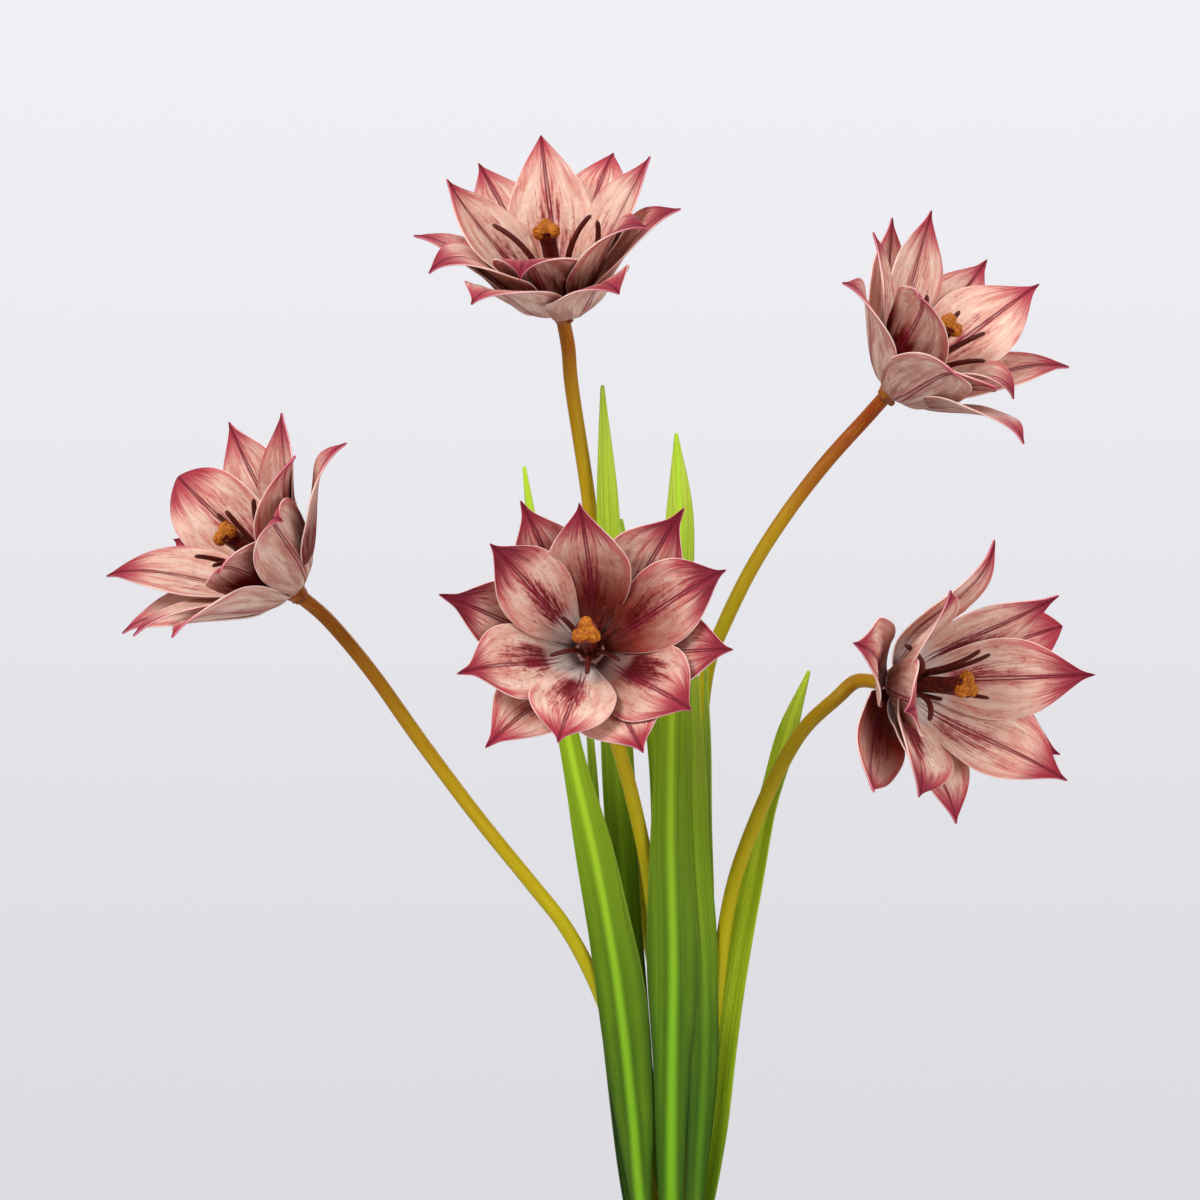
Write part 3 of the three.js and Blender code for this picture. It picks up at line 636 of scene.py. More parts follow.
# tone: how light a leaf's green is, partly its own colour and partly painted light and shade for where it
# stands.
LEAVES = {
    "leaf_front_left": {
        "root": (233, OUTER_ROOT_RADIUS, 7.4), "face": (233, 270), "tone": 0.5, "ribbon": 1,
        "stations": [
            (-11.5, -11, 30, 8.5), (-14.5, -13.2, 64, 15), (-20, -15, 111, 18.5), (-26.5, -15, 149, 15),
            (-36, -15, 191, 8.5), (-46, -14, 244, 7), (-53, -12, 294, LEAF_TIP_WIDTH)]},
    "leaf_front": {
        "root": (276, INNER_ROOT_RADIUS, 7.4), "face": (276, 270), "tone": 0.45, "ribbon": 1,
        "stations": [
            (-0.4, -14, 34, 9), (-0.3, -17.6, 79, 12.6), (0.2, -18, 119, 18.5), (-0.8, -17, 164, 14),
            (0, -14.5, 214, 11), (2.8, -11, 272, 10.5), (1.3, -9, 306, LEAF_TIP_WIDTH)]},
    "leaf_front_right": {
        "root": (325, INNER_ROOT_RADIUS, 6.4), "face": (325, 258), "tone": 0.4, "ribbon": 0.35,
        "stations": [
            (8.6, -9.8, 30, 9), (11.6, -12.6, 82, 12.5), (11.2, -13.6, 114, 11.5), (9, -12, 149, 11),
            (7.5, -10.5, 184, 9), (6.5, -9, 246, LEAF_TIP_WIDTH)]},
    "leaf_right_back": {
        "root": (45, INNER_ROOT_RADIUS, 7), "face": (45, 15), "tone": 0.4, "ribbon": 0.6,
        "stations": [
            (10, 8, 34, 7), (12.4, 6.4, 84, 7.2), (13.6, 3, 134, 7.5), (13.3, 0.5, 184, 6.5),
            (12.3, -0.5, 225, LEAF_TIP_WIDTH)]},
    "leaf_back": {
        "root": (85, OUTER_ROOT_RADIUS, 6.4), "face": (85, 80), "tone": 0.4, "ribbon": 0.6,
        "stations": [
            (0, 16, 34, 7), (0, 22, 84, 8), (-3, 28, 134, 7), (-5.5, 31, 189, 5.5), (-12, 30.5, 239, 4.5),
            (-18.2, 29, 276, LEAF_TIP_WIDTH)]},
    "leaf_back_left": {
        "root": (120, INNER_ROOT_RADIUS, 9), "face": (120, 92), "tone": 0.6, "ribbon": 0.4,
        "stations": [
            (-8.2, 9.4, 34, 9.5), (-13.5, 8.6, 84, 11.5), (-17, 6, 134, 12), (-19.5, 4.5, 179, 12),
            (-21.5, 5.5, 234, 10), (-23.4, 7, 282, 8), (-25, 8, 324, LEAF_TIP_WIDTH)]},
    "leaf_left": {
        "root": (166, OUTER_ROOT_RADIUS, 5.4), "face": (160, 135), "tone": 0.3, "ribbon": 0.6,
        "stations": [
            (-17.4, 1.6, 34, 4.2), (-23.4, 0.6, 84, 5), (-27, 0.6, 134, 5.4), (-28.5, -1, 179, 5),
            (-31, -2, 219, LEAF_TIP_WIDTH)]},
    "leaf_on_low_stem": {
        "root": None, "face": (50, 72), "tone": 1.2, "ribbon": 0.8,
        "stations": [
            (11.4, -1.4, 26, 8), (13.4, -1.5, 40, 10.5), (16.4, -2, 65, 12), (21, -2.6, 102, 10.5),
            (28, -5, 141, 9), (34, -8.5, 172, 8), (41, -12.5, 198, 7.5),
            (48.6, -16.5, 221, LEAF_TIP_WIDTH)]},
}


def leaf_place(leaf, order):
    """The shape of a leaf's middle sheet, and its half width, both by the share v of its length."""
    stations = []
    if leaf["root"]:
        turn, radius, width = leaf["root"]
        turn = math.radians(turn)
        stations = [(radius * math.cos(turn), radius * math.sin(turn), level, width)
                    for level in LEAF_ROOT_LEVELS]
    stations = np.array(stations + leaf["stations"], float)
    fine = np.linspace(0, 1, LINE_POINTS)
    line = above_foot(through(stations[:, :3], fine))
    forward = directions(line)
    root_end = 2 / (len(stations) - 1) if leaf["root"] else 0
    free = np.clip((fine - root_end) / (1 - root_end), 0, 1)
    turns = np.radians(leaf["face"][0] + (leaf["face"][1] - leaf["face"][0]) * free)
    back = np.stack([np.cos(turns), np.sin(turns), np.zeros_like(turns)], axis=1)
    side = np.cross(forward, back)
    side /= np.linalg.norm(side, axis=1)[:, None]
    back = np.cross(side, forward)
    halves = through(stations[:, 3:], fine, even=True)[:, 0] / 2
    halves *= np.interp(fine, *LEAF_FULLNESS)
    fold = np.interp(fine, (0, 1), LEAF_FOLDS)

    def half_width(v):
        return np.interp(v, fine, halves)

    def place(u, v):
        half = half_width(v)
        free_now = np.interp(v, fine, free)
        rippled = np.sin(LEAF_RIPPLE_RATE * v + order * 2.1 + 1.3 * np.sign(u)) * u ** 2
        ripple = LEAF_RIPPLE * half * rippled * free_now
        swelling = np.sin(LEAF_SWELL_RATE * v + order) * np.clip(half / LEAF_SWELL_HALF_WIDTH, 0, 1)
        swell = LEAF_SWELL * free_now * swelling
        depth = (-np.abs(u) * np.interp(v, fine, fold) * half + ripple + swell)[:, None]
        edge_wave = np.sin(LEAF_EDGE_RATE * v + order * 1.3 + 2 * np.sign(u))
        wavy = 1 + LEAF_EDGE_WAVE * free_now * edge_wave
        return (at_share(v, fine, line) + at_share(v, fine, side) * (u * half * wavy)[:, None]
                + at_share(v, fine, back) * depth) * MM

    return place, half_width


leaf_finish, tree, shader = new_finish("leaf_foam", 0.5, Specular_IOR_Level=0.12)
across, along = own_map(tree, "UVMap")
reach, ribbon = own_map(tree, "reach")
seed, tone = own_map(tree, "leaf")
across = (across - 0.5) * 2
veins = noise(vector(reach * 2.6, along * 2.2, seed * 5), 1.6, 3.0, 0.5)
clouds = noise(vector(across * 0.8, along * 7, seed * 9), 1.8, 3.0)
# Painted shade: low says how far a leaf is darkened low down, more on the darker leaves.
low = (along.rise(0.8, 0.45) * (1.3 - tone)).clamped()
band = coated(
    blend(tone, "#8dc623", "#cde537"),
    # painted shade on the band low down
    (low * 0.9, "#6cad1a"),
    (along.rise(0.45, 0.05) * 0.6, "#518f11"))
ribbed = abs(reach) / (2.0 - along * 1.2)
colour = coated(
    blend(tone, "#4c7a0d", "#adc621"),
    (along.rise(0.78, 0.98) * 0.8, "#c4d74b"),
    # painted shade low down
    (low * 0.95, "#355f08"),
    (clouds.rise(0.4, 0.75) * 0.35, "#7b9e16"),
    (veins.rise(0.45, 0.75) * 0.55, "#244905"),
    # painted shade, darker towards the bottom and along the middle low down
    (along.rise(0.5, 0.1) * 0.7, "#2a5408"),
    (abs(reach).rise(6.0, 1.0) * low * 0.7, "#214505"),
    (ribbed.rise(2.0, 0.1) * ribbon * 0.85, band),
    # painted shade at the edges low down, between the leaves
    (low * abs(across).rise(0.55, 1.0) * 0.8, "#163005"),
    # a painted highlight along the upper edges
    (abs(across).rise(0.9, 1.0) * along.rise(0.4, 0.8) * 0.4, "#b1cd52"))
painted(tree, shader, colour, veins + abs(ribbed - 1.1).rise(0.3, 0.0) * -0.5, 0.0002)

for order, (name, leaf) in enumerate(LEAVES.items()):
    place, half_width = leaf_place(leaf, order)
    blade = bent_grid(name + "_blade", LEAF_COLUMNS, LEAF_ROWS, place)
    u, v = grid_places(blade)
    add_map(blade, "reach", u * half_width(v), leaf["ribbon"])
    add_map(blade, "leaf", order * 0.31, leaf["tone"])
    thicken(blade, LEAF_THICKNESS * MM)
    smooth(blade)
    blade.data.materials.append(leaf_finish)
    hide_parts(name)
    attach(blade, "stem_low" if name == "leaf_on_low_stem" else "base")


# Receptacles. Under each flower a short brown plastic cone is pushed on the wire, with a few lumps
# of glue. Its post goes up through the rings of the whorls.
RECEPTACLE_NECK = 3.0
RECEPTACLE_SEAT = 4.5
RECEPTACLE_TOP = -0.2
RECEPTACLE_ROUNDING = 0.4
POST_RADIUS = 2.1
POST_FOOT = -1
POST_TOP = 5.5
GLUE_LUMPS = 7
GLUE_RADII = (0.75, 1.05, 1.35)
GLUE_TURN = 2.4
GLUE_REACH = 3.1
GLUE_LEVELS = (-1.2, -4.8)
receptacle_finish, tree, shader = new_finish("receptacle_brown", 0.4, Specular_IOR_Level=0.2)
place = own_place(tree)
cloud = noise(place, 260.0, 4.0)
painted(tree, shader, blend(cloud.rise(0.3, 0.7), "#793410", "#a15a18"), cloud, 0.0002)

for order, name in enumerate(HEADS):
    cone = disc(f"receptacle_cone_{name}", RECEPTACLE_NECK, RECEPTACLE_TOP - RECEPTACLE_LENGTH,
                RECEPTACLE_TOP, RECEPTACLE_ROUNDING, top_radius=RECEPTACLE_SEAT)
    post = disc("post", POST_RADIUS, POST_FOOT, POST_TOP, RECEPTACLE_ROUNDING)
    lumps = []
    for k in range(GLUE_LUMPS):
        turn = GLUE_TURN * k + order
        level = np.interp((k * 0.37 + order * 0.21) % 1, (0, 1), GLUE_LEVELS)
        at = (GLUE_REACH * math.cos(turn), GLUE_REACH * math.sin(turn), level)
        lumps.append(primitive(bpy.ops.mesh.primitive_uv_sphere_add, "lump", segments=12, ring_count=8,
                               radius=GLUE_RADII[k % 3], location=at))
    cone = joined([cone, post, *lumps])
    cone.data.transform(head_matrix(name))
    smooth(cone, 40)
    cone.data.materials.append(receptacle_finish)
    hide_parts(f"receptacle_{name}")
    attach(cone, f"head_{name}")


# Petals. Six are pressed from one thin sheet of soft foam, and two such whorls sit on each flower's
# post. They are printed peach with crimson tips, maroon blotches and a double line along the
# midrib, and duller outside. Shade in the cups is painted on them as a dark brown-red wash towards
# the root. The cut edge stays pale. Lengths are in millimetres from here on.
WHORLS = {
    "outer": {"length": 66, "width": 39, "root_angle": 80, "root_radius": 4.6, "bend": 0.42, "level": 0},
    "inner": {"length": 62, "width": 38, "root_angle": 60, "root_radius": 4.4, "bend": 0.45, "level": 3},
}
RING_THICKNESS = 1.1
RING_OVERLAP = 1
RING_ROUNDING = 0.33
ROOT_SHARE = 0.12
CUP_EASE = 0.35
FLAT_ROOT = 0.3
FLAT_ROOT_CUP = 0.1
LAYER_OFFSET = 1.1
LAYER_RISE = 0.15
PETAL_THICKNESS = 0.8
PETAL_COLUMNS = 16
PETAL_ROWS = 44
PETAL_STEPS = 240
MIDRIB_DEPTH = 0.7
MIDRIB_WIDTH = 1.5
TIP_SLOPE = 0.3
TIP_END = 1.006
TIP_FULLNESS = 1.2
EDGE_WAVES = 1.6
EDGE_WAVES_FROM = 0.25
EDGE_WAVES_EASE = 0.3
LEAST_BOWL_RADIUS = 2
LEAST_CUP = 1e-3


def bloom(turn, lean, tip_lean, longer=0, wide=0.8, widest=0.5, full=2.3, sharp=1.6, hook=0,
          hook_from=0.68, twist=0, sway=0, ruffle=0.8, flare=0.3, flare_from=0.45,
          blotch=0.3, rosy=0.5, shade=0.1):
    """How one petal is bent and printed. Lengths are in millimetres and angles in degrees.

    turn: its place about the flower; lean and tip_lean: from the flower's axis, at mid length and
    at the tip; longer: than its whorl's length; wide: a share of its whorl's width, and widest:
    where along it; full and sharp: the curve of its outline; hook: how far the tip bends on
    outwards, from hook_from on; twist and sway: at the tip; ruffle: height of the waves at its
    edges; flare: how far the edges open out towards the tip, from flare_from on; blotch and rosy:
    how strong its maroon patches and its crimson tip are; shade: how strong the painted shade in
    its cup is, a dark brown-red wash towards its root, on the front flower partly also a printed
    brown.
    """
    return locals()


def summed(steps):
    """The running sum of some steps, from 0 on."""
    return np.concatenate([[0], np.cumsum(steps)])


def petal_place(whorl, petal, order):
    """The shape of a petal: a function from (u, v) to points in its flower's own frame."""
    length = whorl["length"] + petal["longer"]
    fine = np.linspace(0, 1, PETAL_STEPS + 1)
    bend = whorl["bend"]
    lean, tip_lean = petal["lean"], petal["tip_lean"]
    low = lean + (whorl["root_angle"] - lean) * (1 - fine / bend) ** 2
    high = lean + (tip_lean - lean) * np.clip((fine - bend) / (1 - bend), 0, 1) ** 2
    start = petal["hook_from"]
    hooked = np.clip((fine - start) / (1 - start), 0, 1) ** 1.4 * petal["hook"]
    angles = np.radians(np.where(fine < bend, low, high) + hooked)
    step = length / PETAL_STEPS
    run = summed((np.sin(angles[1:]) + np.sin(angles[:-1])) / 2 * step)
    climb = summed((np.cos(angles[1:]) + np.cos(angles[:-1])) / 2 * step)
    phase = order * 1.9 + petal["turn"] * 0.05
    around = math.radians(petal["turn"])
    outward = np.array([math.cos(around), math.sin(around), 0])
    sideways = np.array([-math.sin(around), math.cos(around), 0])
    up = np.array([0, 0, 1])
    widest = petal["widest"]

    def half_width(s):
        t = np.clip((s - widest) / (1 - widest), 0, 1)
        body = ROOT_SHARE + (1 - ROOT_SHARE) * np.sin(np.pi / 2 * np.clip(s / widest, 0, 1))
        tip = (1 - t ** petal["full"]) ** petal["sharp"]
        half = whorl["width"] / 2 * petal["wide"] * np.where(s < widest, body, tip)
        blunt = np.minimum(length * (TIP_END - s) * TIP_SLOPE, half + TIP_FULLNESS)
        return np.maximum(half, np.where(s < widest, 0, blunt))

    def place(u, v):
        angle = np.interp(v, fine, angles)
        half = half_width(v)
        layer = (LAYER_OFFSET if order % 2 else -LAYER_OFFSET) * (1 - v) * np.minimum(1, v / LAYER_RISE)
        radius = whorl["root_radius"] + np.interp(v, fine, run) + layer * np.cos(angle)
        level = whorl["level"] + RING_THICKNESS / 2 + np.interp(v, fine, climb) - layer * np.sin(angle)
        bowl = half / (np.maximum(radius, LEAST_BOWL_RADIUS) * (1 + CUP_EASE * v))
        flat = np.minimum(1, FLAT_ROOT_CUP + (1 - FLAT_ROOT_CUP) * v / FLAT_ROOT)
        opened = 1 - petal["flare"] * np.clip((v - petal["flare_from"]) / (1 - petal["flare_from"]), 0, 1)
        cup = bowl * flat * opened
        cup = np.where(np.abs(cup) < LEAST_CUP, LEAST_CUP, cup)
        side = half * np.sin(cup * u) / cup
        inward = half * (1 - np.cos(cup * u)) / cup
        wave = np.sin(2 * np.pi * EDGE_WAVES * v + phase + np.sign(u) * 0.8)
        share = half / (whorl["width"] / 2)
        begun = np.clip((v - EDGE_WAVES_FROM) / EDGE_WAVES_EASE, 0, 1)
        wave = petal["ruffle"] * wave * np.abs(u) ** 2 * begun * share
        groove = np.exp(-(u * half / MIDRIB_WIDTH) ** 2) * np.sin(np.pi * np.clip(v, 0, 1)) ** 0.5
        inward = inward - MIDRIB_DEPTH * groove + wave
        turned = math.radians(petal["twist"]) * v ** 2
        side, inward = (side * np.cos(turned) - inward * np.sin(turned),
                        side * np.sin(turned) + inward * np.cos(turned))
        side = side + petal["sway"] * v ** 3
        return (np.outer(radius - inward * np.cos(angle), outward) + np.outer(side, sideways)
                + np.outer(level + inward * np.sin(angle), up))

    return place, half_width


def petal_finish(name, inside):
    """The printed foam of a petal, with painted shade towards its root, for its inner or its outer face.
    """
    material, tree, shader = new_finish(name, 0.62, Specular_IOR_Level=0.12, Subsurface_Weight=0.2,
                                        Subsurface_Radius=(1.0, 0.3, 0.2), Subsurface_Scale=0.0015)
    across, along = own_map(tree, "UVMap")
    reach, edge = own_map(tree, "reach")
    seed, blotch = own_map(tree, "petal")
    rosy, shade = own_map(tree, "tint")
    across = (across - 0.5) * 2
    aside = abs(across)

    feather = aside - along * 0.4
    streaks = noise(vector(feather * 6, along * 1.5, seed * 7), 3.2, 5.0, 0.64, 0.4)
    fine_streaks = noise(vector(feather * 24, along * 2.6, seed * 3), 3.0, 4.0, 0.6)
    clouds = noise(vector(across * 1.7, along * 1.5, seed * 11), 2.4, 4.0, 0.58, 0.5)
    dapple = noise(vector(reach, along * 50, seed * 50), 0.55, 4.0, 0.72)

    if inside:
        beside = abs(across + (seed - 0.5) * 0.5)
        zone = along.rise(0.12, 0.26) * along.rise(0.86, 0.28) * beside.rise(0.75, 0.0)
        mottle = (clouds - 0.5) * 0.9 + (streaks - 0.5) * 2.2 + (fine_streaks - 0.5) * 0.8 + (dapple - 0.5)
        field = zone * (0.35 + blotch) + mottle
        bounds = along.rise(0.12, 0.26) * along.rise(0.9, 0.6)
        spots = dapple.rise(0.57, 0.66) * along.rise(0.15, 0.3) * along.rise(0.9, 0.6)
        ground = coated(
            blend(clouds.rise(0.3, 0.7), "#fbdcc9", "#e8ae97"),
            (streaks.rise(0.5, 0.74) * clouds.rise(0.3, 0.62) * 0.42, "#c4505a"),
            (fine_streaks.rise(0.5, 0.72) * 0.35, "#b8605c"),
            (fine_streaks.rise(0.45, 0.25) * 0.25, "#f9dccd"),
            (field.rise(0.12, 0.75) * bounds * 0.7, "#bd4052"),
            (spots * (0.2 + blotch * 0.6) * 0.5, "#a63942"),
            (field.rise(0.42, 1.1) * bounds * 0.95, "#6a0f19"),
            (along.rise(0.27, 0.12) * 0.85, blend(streaks.rise(0.4, 0.7), "#f6ece7", "#bda39f")),
            # painted shade at the very root, where the petals meet
            (along.rise(0.1, 0.03) * 0.85, "#4c2924"))
        # Painted shade in the cup: a brown-red wash towards the root, as strong as shade says.
        wash = along.rise(0.8, 0.2) * shade * 1.1 + along.rise(1.0, 0.5) * shade * 0.5
        stain = "#973f2c"
    else:
        ground = coated(
            blend(clouds.rise(0.3, 0.7), "#f4d3c1", "#cf9683"),
            (streaks.rise(0.5, 0.74) * 0.5, "#aa3742"),
            (fine_streaks.rise(0.5, 0.75) * 0.3, "#933d36"))
        # Painted shade: the outer face darkens towards the root, a little on every petal and more as shade
        # says.
        wash = along.rise(0.8, 0.15) * (0.15 + shade) * (0.5 + clouds.rise(0.3, 0.7))
        wash = wash + along.rise(1.0, 0.5) * shade * 0.4
        stain = "#7e2414"
    # Painted shade: near-black red at the very root of petals whose shade is strong.
    deep = along.rise(0.62, 0.12) * (shade - 0.25 + (clouds - 0.5) * 0.6)
    patchy = clouds.rise(0.36, 0.62) * 0.75 + 0.25
    border = edge.rise(5.5, 0.0) * along.rise(0.2, 0.8) * (0.15 + fine_streaks) * (0.45 + rosy) * patchy
    flush = along.rise(0.4, 0.95) * clouds.rise(0.42, 0.66) * (0.25 + rosy * 0.6)
    ragged = along + (streaks - 0.5) * 0.34 + (fine_streaks - 0.5) * 0.12 + (rosy - 0.5) * 0.2
    halo = abs(reach).rise(3.6, 0.3) * along.rise(0.1, 0.4) * streaks.rise(0.3, 0.7)
    vein = abs(abs(reach) - (0.95 - along * 0.7))
    lines = vein.rise(0.5, 0.1) * along.rise(0.06, 0.2) * (0.5 + streaks)
    ground = coated(
        blend(wash, ground, stain, "MULTIPLY"),
        (deep.clamped() * 0.9, "#66100d"),
        (border, "#c8334f"),
        (flush.clamped() * 0.35, "#cd4a5c"),
        (ragged.rise(0.7, 0.93) * 0.9, "#c4334c"),
        (ragged.rise(0.75, 0.98) * (rosy * 1.3 - 0.4), "#540f1b"),
        (halo * 0.5, "#bb3752"),
        (lines.clamped() * 0.85, "#7f1f33"))

    ridges = noise(vector(across * 16, along * 1.5, seed * 9), 2.0, 2.0, 0.5)
    crumple = noise(vector(across * 2, along * 6, seed * 13), 1.6, 2.0, 0.5)
    height = ridges * 0.5 + fine_streaks * 0.3 + crumple * 3.0 - vein.rise(0.5, 0.0) * 0.8
    painted(tree, shader, ground, height, 0.0004)
    return material


def rim_finish():
    """The cut edge of the foam, pale, and pinker towards the tip."""
    material, tree, shader = new_finish("petal_rim", 0.65, Specular_IOR_Level=0.12)
    across, along = own_map(tree, "UVMap")
    painted(tree, shader, blend(along.rise(0.7, 1.0), "#f9d8cc", "#cf6a7e"))
    return material


PETAL_FINISHES = [petal_finish("petal_outside", False), petal_finish("petal_inside", True), rim_finish()]


def whorl_piece(name, whorl, petals, matrix):
    """Six petals and the ring that joins them, as one piece."""
    blades = []
    for order, petal in enumerate(petals):
        place, half_width = petal_place(whorl, petal, order)
        blade = bent_grid(name, PETAL_COLUMNS, PETAL_ROWS, place)
        u, v = grid_places(blade)
        half = half_width(v)
        add_map(blade, "reach", u * half, (1 - np.abs(u)) * half)
        add_map(blade, "petal", (order * 0.37 + petal["turn"] * 0.013) % 1, petal["blotch"])
        # The tint map holds the strength of the crimson tip and of the painted shade.
        add_map(blade, "tint", petal["rosy"], petal["shade"])
        blades.append(blade)
    piece = joined(blades)
    for material in PETAL_FINISHES:
        piece.data.materials.append(material)
    thicken(piece, PETAL_THICKNESS, material_offset=1, material_offset_rim=2)

    ring = primitive(bpy.ops.mesh.primitive_cylinder_add, "ring", vertices=32, depth=RING_THICKNESS,
                     radius=whorl["root_radius"] + RING_OVERLAP,
                     location=(0, 0, whorl["level"] + RING_THICKNESS / 2))
    ring.data.materials.append(PETAL_FINISHES[0])
    round_rims(ring, RING_ROUNDING, 2)
    piece = joined([piece, ring])
    piece.data.transform(matrix)
    smooth(piece)
    piece.name = name
    return piece


PETALS = {
    ("top", "outer"): [
        bloom(-11, 34, 75, -3.5, wide=0.85, hook=5, rosy=0.8, shade=0.2),
        bloom(68, 55, 90, -1, full=2.2, sharp=1.3, blotch=0.2, rosy=0.45),
        bloom(116, 53, 62, -2, blotch=0.2, rosy=0.4),
        bloom(190.5, 29, 75, -4, wide=0.66, rosy=0.6),
        bloom(243, 38, 80, wide=0.9, hook=22, flare=1.0),
        bloom(299, 40, 90, -5, wide=0.85, hook=20, flare=0.6, sharp=1.3, ruffle=1.6, rosy=0.7),
    ],
    ("top", "inner"): [
        bloom(15.5, 33, 38, -1, wide=0.85, blotch=0.2, shade=0.05),
        bloom(90, 33, 42, -3.5, wide=0.9, widest=0.44, full=1.6, sharp=1.05, blotch=0.35, rosy=0.25,
              shade=0.05),
        bloom(156, 33, 18, -4, wide=0.78, rosy=0.4),
        bloom(214, 32, 100, 0.5, wide=0.9, hook=30, hook_from=0.6, flare=0.9, rosy=0.7, shade=0.6),
        bloom(260.5, 27, 100, wide=0.85, hook=25, flare=1.3, flare_from=0.4, rosy=0.8, shade=0.55),
        bloom(325, 27, 85, hook=20, hook_from=0.6, flare=0.8, rosy=0.8, shade=0.5),
    ],
    ("right", "outer"): [
        bloom(71.5, 48, 70, 1.5, wide=0.72, sharp=2.0, blotch=0.2, shade=0.15),
        bloom(118, 48, 55, -5.5, wide=0.6, blotch=0.2, rosy=0.4),
        bloom(202, 39, 90, -3, hook=10, shade=0.2),
        bloom(261, 35, 75, wide=0.78, ruffle=2.0, rosy=0.3, shade=0.2),
        bloom(302, 44, 88, -2, wide=0.75, hook=22, hook_from=0.76, flare=0.7, blotch=0.6, rosy=0.6,
              shade=0.5),
        bloom(19, 44, 88, wide=0.5, rosy=0.6, shade=0.05),
    ],
    ("right", "inner"): [
        bloom(46, 32, 42, wide=0.88, sharp=1.8, blotch=0.15, shade=0.0),
        bloom(113, 38.5, 45, -0.5, wide=0.72, sway=-1.5, blotch=0.25, shade=0.0),
        bloom(166, 36, 60, -6, wide=0.6),
        bloom(225, 23, 70, wide=0.9, hook=15, ruffle=1.5, blotch=0.4, rosy=0.3, shade=0.75),
        bloom(285, 38, 60, -7, blotch=0.4, rosy=0.4, shade=0.4),
        bloom(323, 24, 110, -14, hook=30, hook_from=0.6, rosy=0.7),
    ],
    ("left", "outer"): [
        bloom(-5, 46, 52, 2, wide=0.75, hook=50, hook_from=0.6, blotch=0.4, shade=0.8),
        bloom(80, 38, 50, -0.5, wide=0.85, blotch=0.2),
        bloom(137, 41, 70, -15, wide=0.85, rosy=0.6, shade=0.3),
        bloom(188, 44, 95, -5, wide=0.7, shade=0.2),
        bloom(255, 40, 85, 2, wide=0.78),
        bloom(322, 32, 85, sway=-6, hook=30, hook_from=0.75),
    ],
    ("left", "inner"): [
        bloom(28, 39, 46, -2, wide=0.95, twist=12, blotch=0.2, rosy=0.6, shade=0.4),
        bloom(113, 38, 72, -2, wide=0.85, full=2.6, sharp=0.8, blotch=0.25, rosy=0.6, shade=0.25),
        bloom(174, 34, 68, 1, wide=0.78, hook=10, hook_from=0.75, blotch=0.15, rosy=0.7, shade=0.0),
        bloom(226, 41, 85, -1, wide=0.7, rosy=0.6, shade=0.2),
        bloom(284, 35, 90, wide=0.72, ruffle=1.5, flare=0, rosy=0.4, shade=0.9),
        bloom(346, 34, 80, wide=1.0, sharp=1.1, hook=10, twist=-20, blotch=0.4, shade=0.7),
    ],
    ("front", "outer"): [
        bloom(-10.5, 38, 50, wide=0.82, sharp=1.8, blotch=0.2, rosy=0.8, shade=0.3),
        bloom(49.5, 37, 55, 1.5, wide=0.82, sharp=2.2, blotch=0.2, rosy=0.9, shade=0.3),
        bloom(117, 29, 52, 1.5, sharp=2.0, blotch=0.2, rosy=0.7, shade=0.35),
        bloom(168, 34, 55, 1, wide=0.75, sharp=2.2, blotch=0.2, rosy=1.0, shade=0.25),
        bloom(232, 37, 58, 3, wide=0.72, sharp=1.9, blotch=0.2, rosy=0.6, shade=0.2),
        bloom(294, 33, 52, 1, wide=0.9, sharp=1.8, blotch=0.2, rosy=0.6),
    ],
    ("front", "inner"): [
        bloom(20, 38, 65, 4, wide=0.77, flare=0.8, flare_from=0.2, widest=0.55, full=2.8, sharp=1.9,
              blotch=0.45, rosy=0.9, shade=0.6),
        bloom(87, 27, 50, flare=0.8, flare_from=0.2, sway=3.5, ruffle=1.5, blotch=0.4, rosy=0.7,
              shade=0.6),
        bloom(140, 27, 52, 1, wide=0.72, flare=0.8, flare_from=0.2, widest=0.55, full=2.8, sharp=1.8,
              blotch=0.8, rosy=0.9, shade=0.05),
        bloom(203, 31, 62, 3, wide=0.76, flare=0.8, flare_from=0.2, full=3.2, sharp=2.8, blotch=0.8,
              rosy=0.7, shade=0.0),
        bloom(258.5, 30, 55, flare=0.9, flare_from=0.15, widest=0.55, full=2.8, sharp=2.0, ruffle=1.4,
              blotch=0.85, rosy=0.6, shade=0.05),
        bloom(320, 37, 60, wide=0.85, flare=0.8, flare_from=0.2, widest=0.55, full=2.8, sharp=1.8,
              blotch=1.1, rosy=0.75, shade=0.4),
    ],
    ("low", "outer"): [
        bloom(21, 50, 70, -5, wide=0.9, sharp=0.9, hook=-20, shade=0.2),
        bloom(86, 31, 68, -1, wide=0.48, hook=20, rosy=0.4),
        bloom(163, 48, 95, -6, twist=20, flare=0.9, ruffle=2.0, blotch=0.4, rosy=0.6, shade=0.4),
        bloom(224, 66, 44, -14, widest=0.42, flare=0.7, rosy=0.6, shade=0.7),
        bloom(265, 41, 61, -10, wide=0.85, sway=-3, hook=8, blotch=0.4, rosy=0.7),
        bloom(332, 48, 60, -4, rosy=0.6),
    ],
    ("low", "inner"): [
        bloom(4, 32, 45, 3.5, sharp=1.8, rosy=0.8, shade=0.15),
        bloom(44, 36, 48, -1.5, wide=0.62, widest=0.42, blotch=0.55, rosy=0.7, shade=0.05),
        bloom(127, 31, 60, -3, wide=0.75, blotch=0.5, rosy=0.6),
        bloom(189, 30, 90, -5, wide=0.75, ruffle=1.8, blotch=0.5, rosy=0.7),
        bloom(236, 45, 62, -11, wide=0.95, hook=20, hook_from=0.6, blotch=1.2, rosy=0.8),
        bloom(312, 32, 45, 3, wide=0.85, widest=0.55, sharp=1.8, blotch=0.4, rosy=0.7, shade=0.05),
    ],
}
for (head, layer), petals in PETALS.items():
    piece = whorl_piece(f"{layer}_whorl_{head}", WHORLS[layer], petals, head_matrix(head))
    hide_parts(f"{layer}_petals_{head}")
    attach(piece, f"head_{head}")


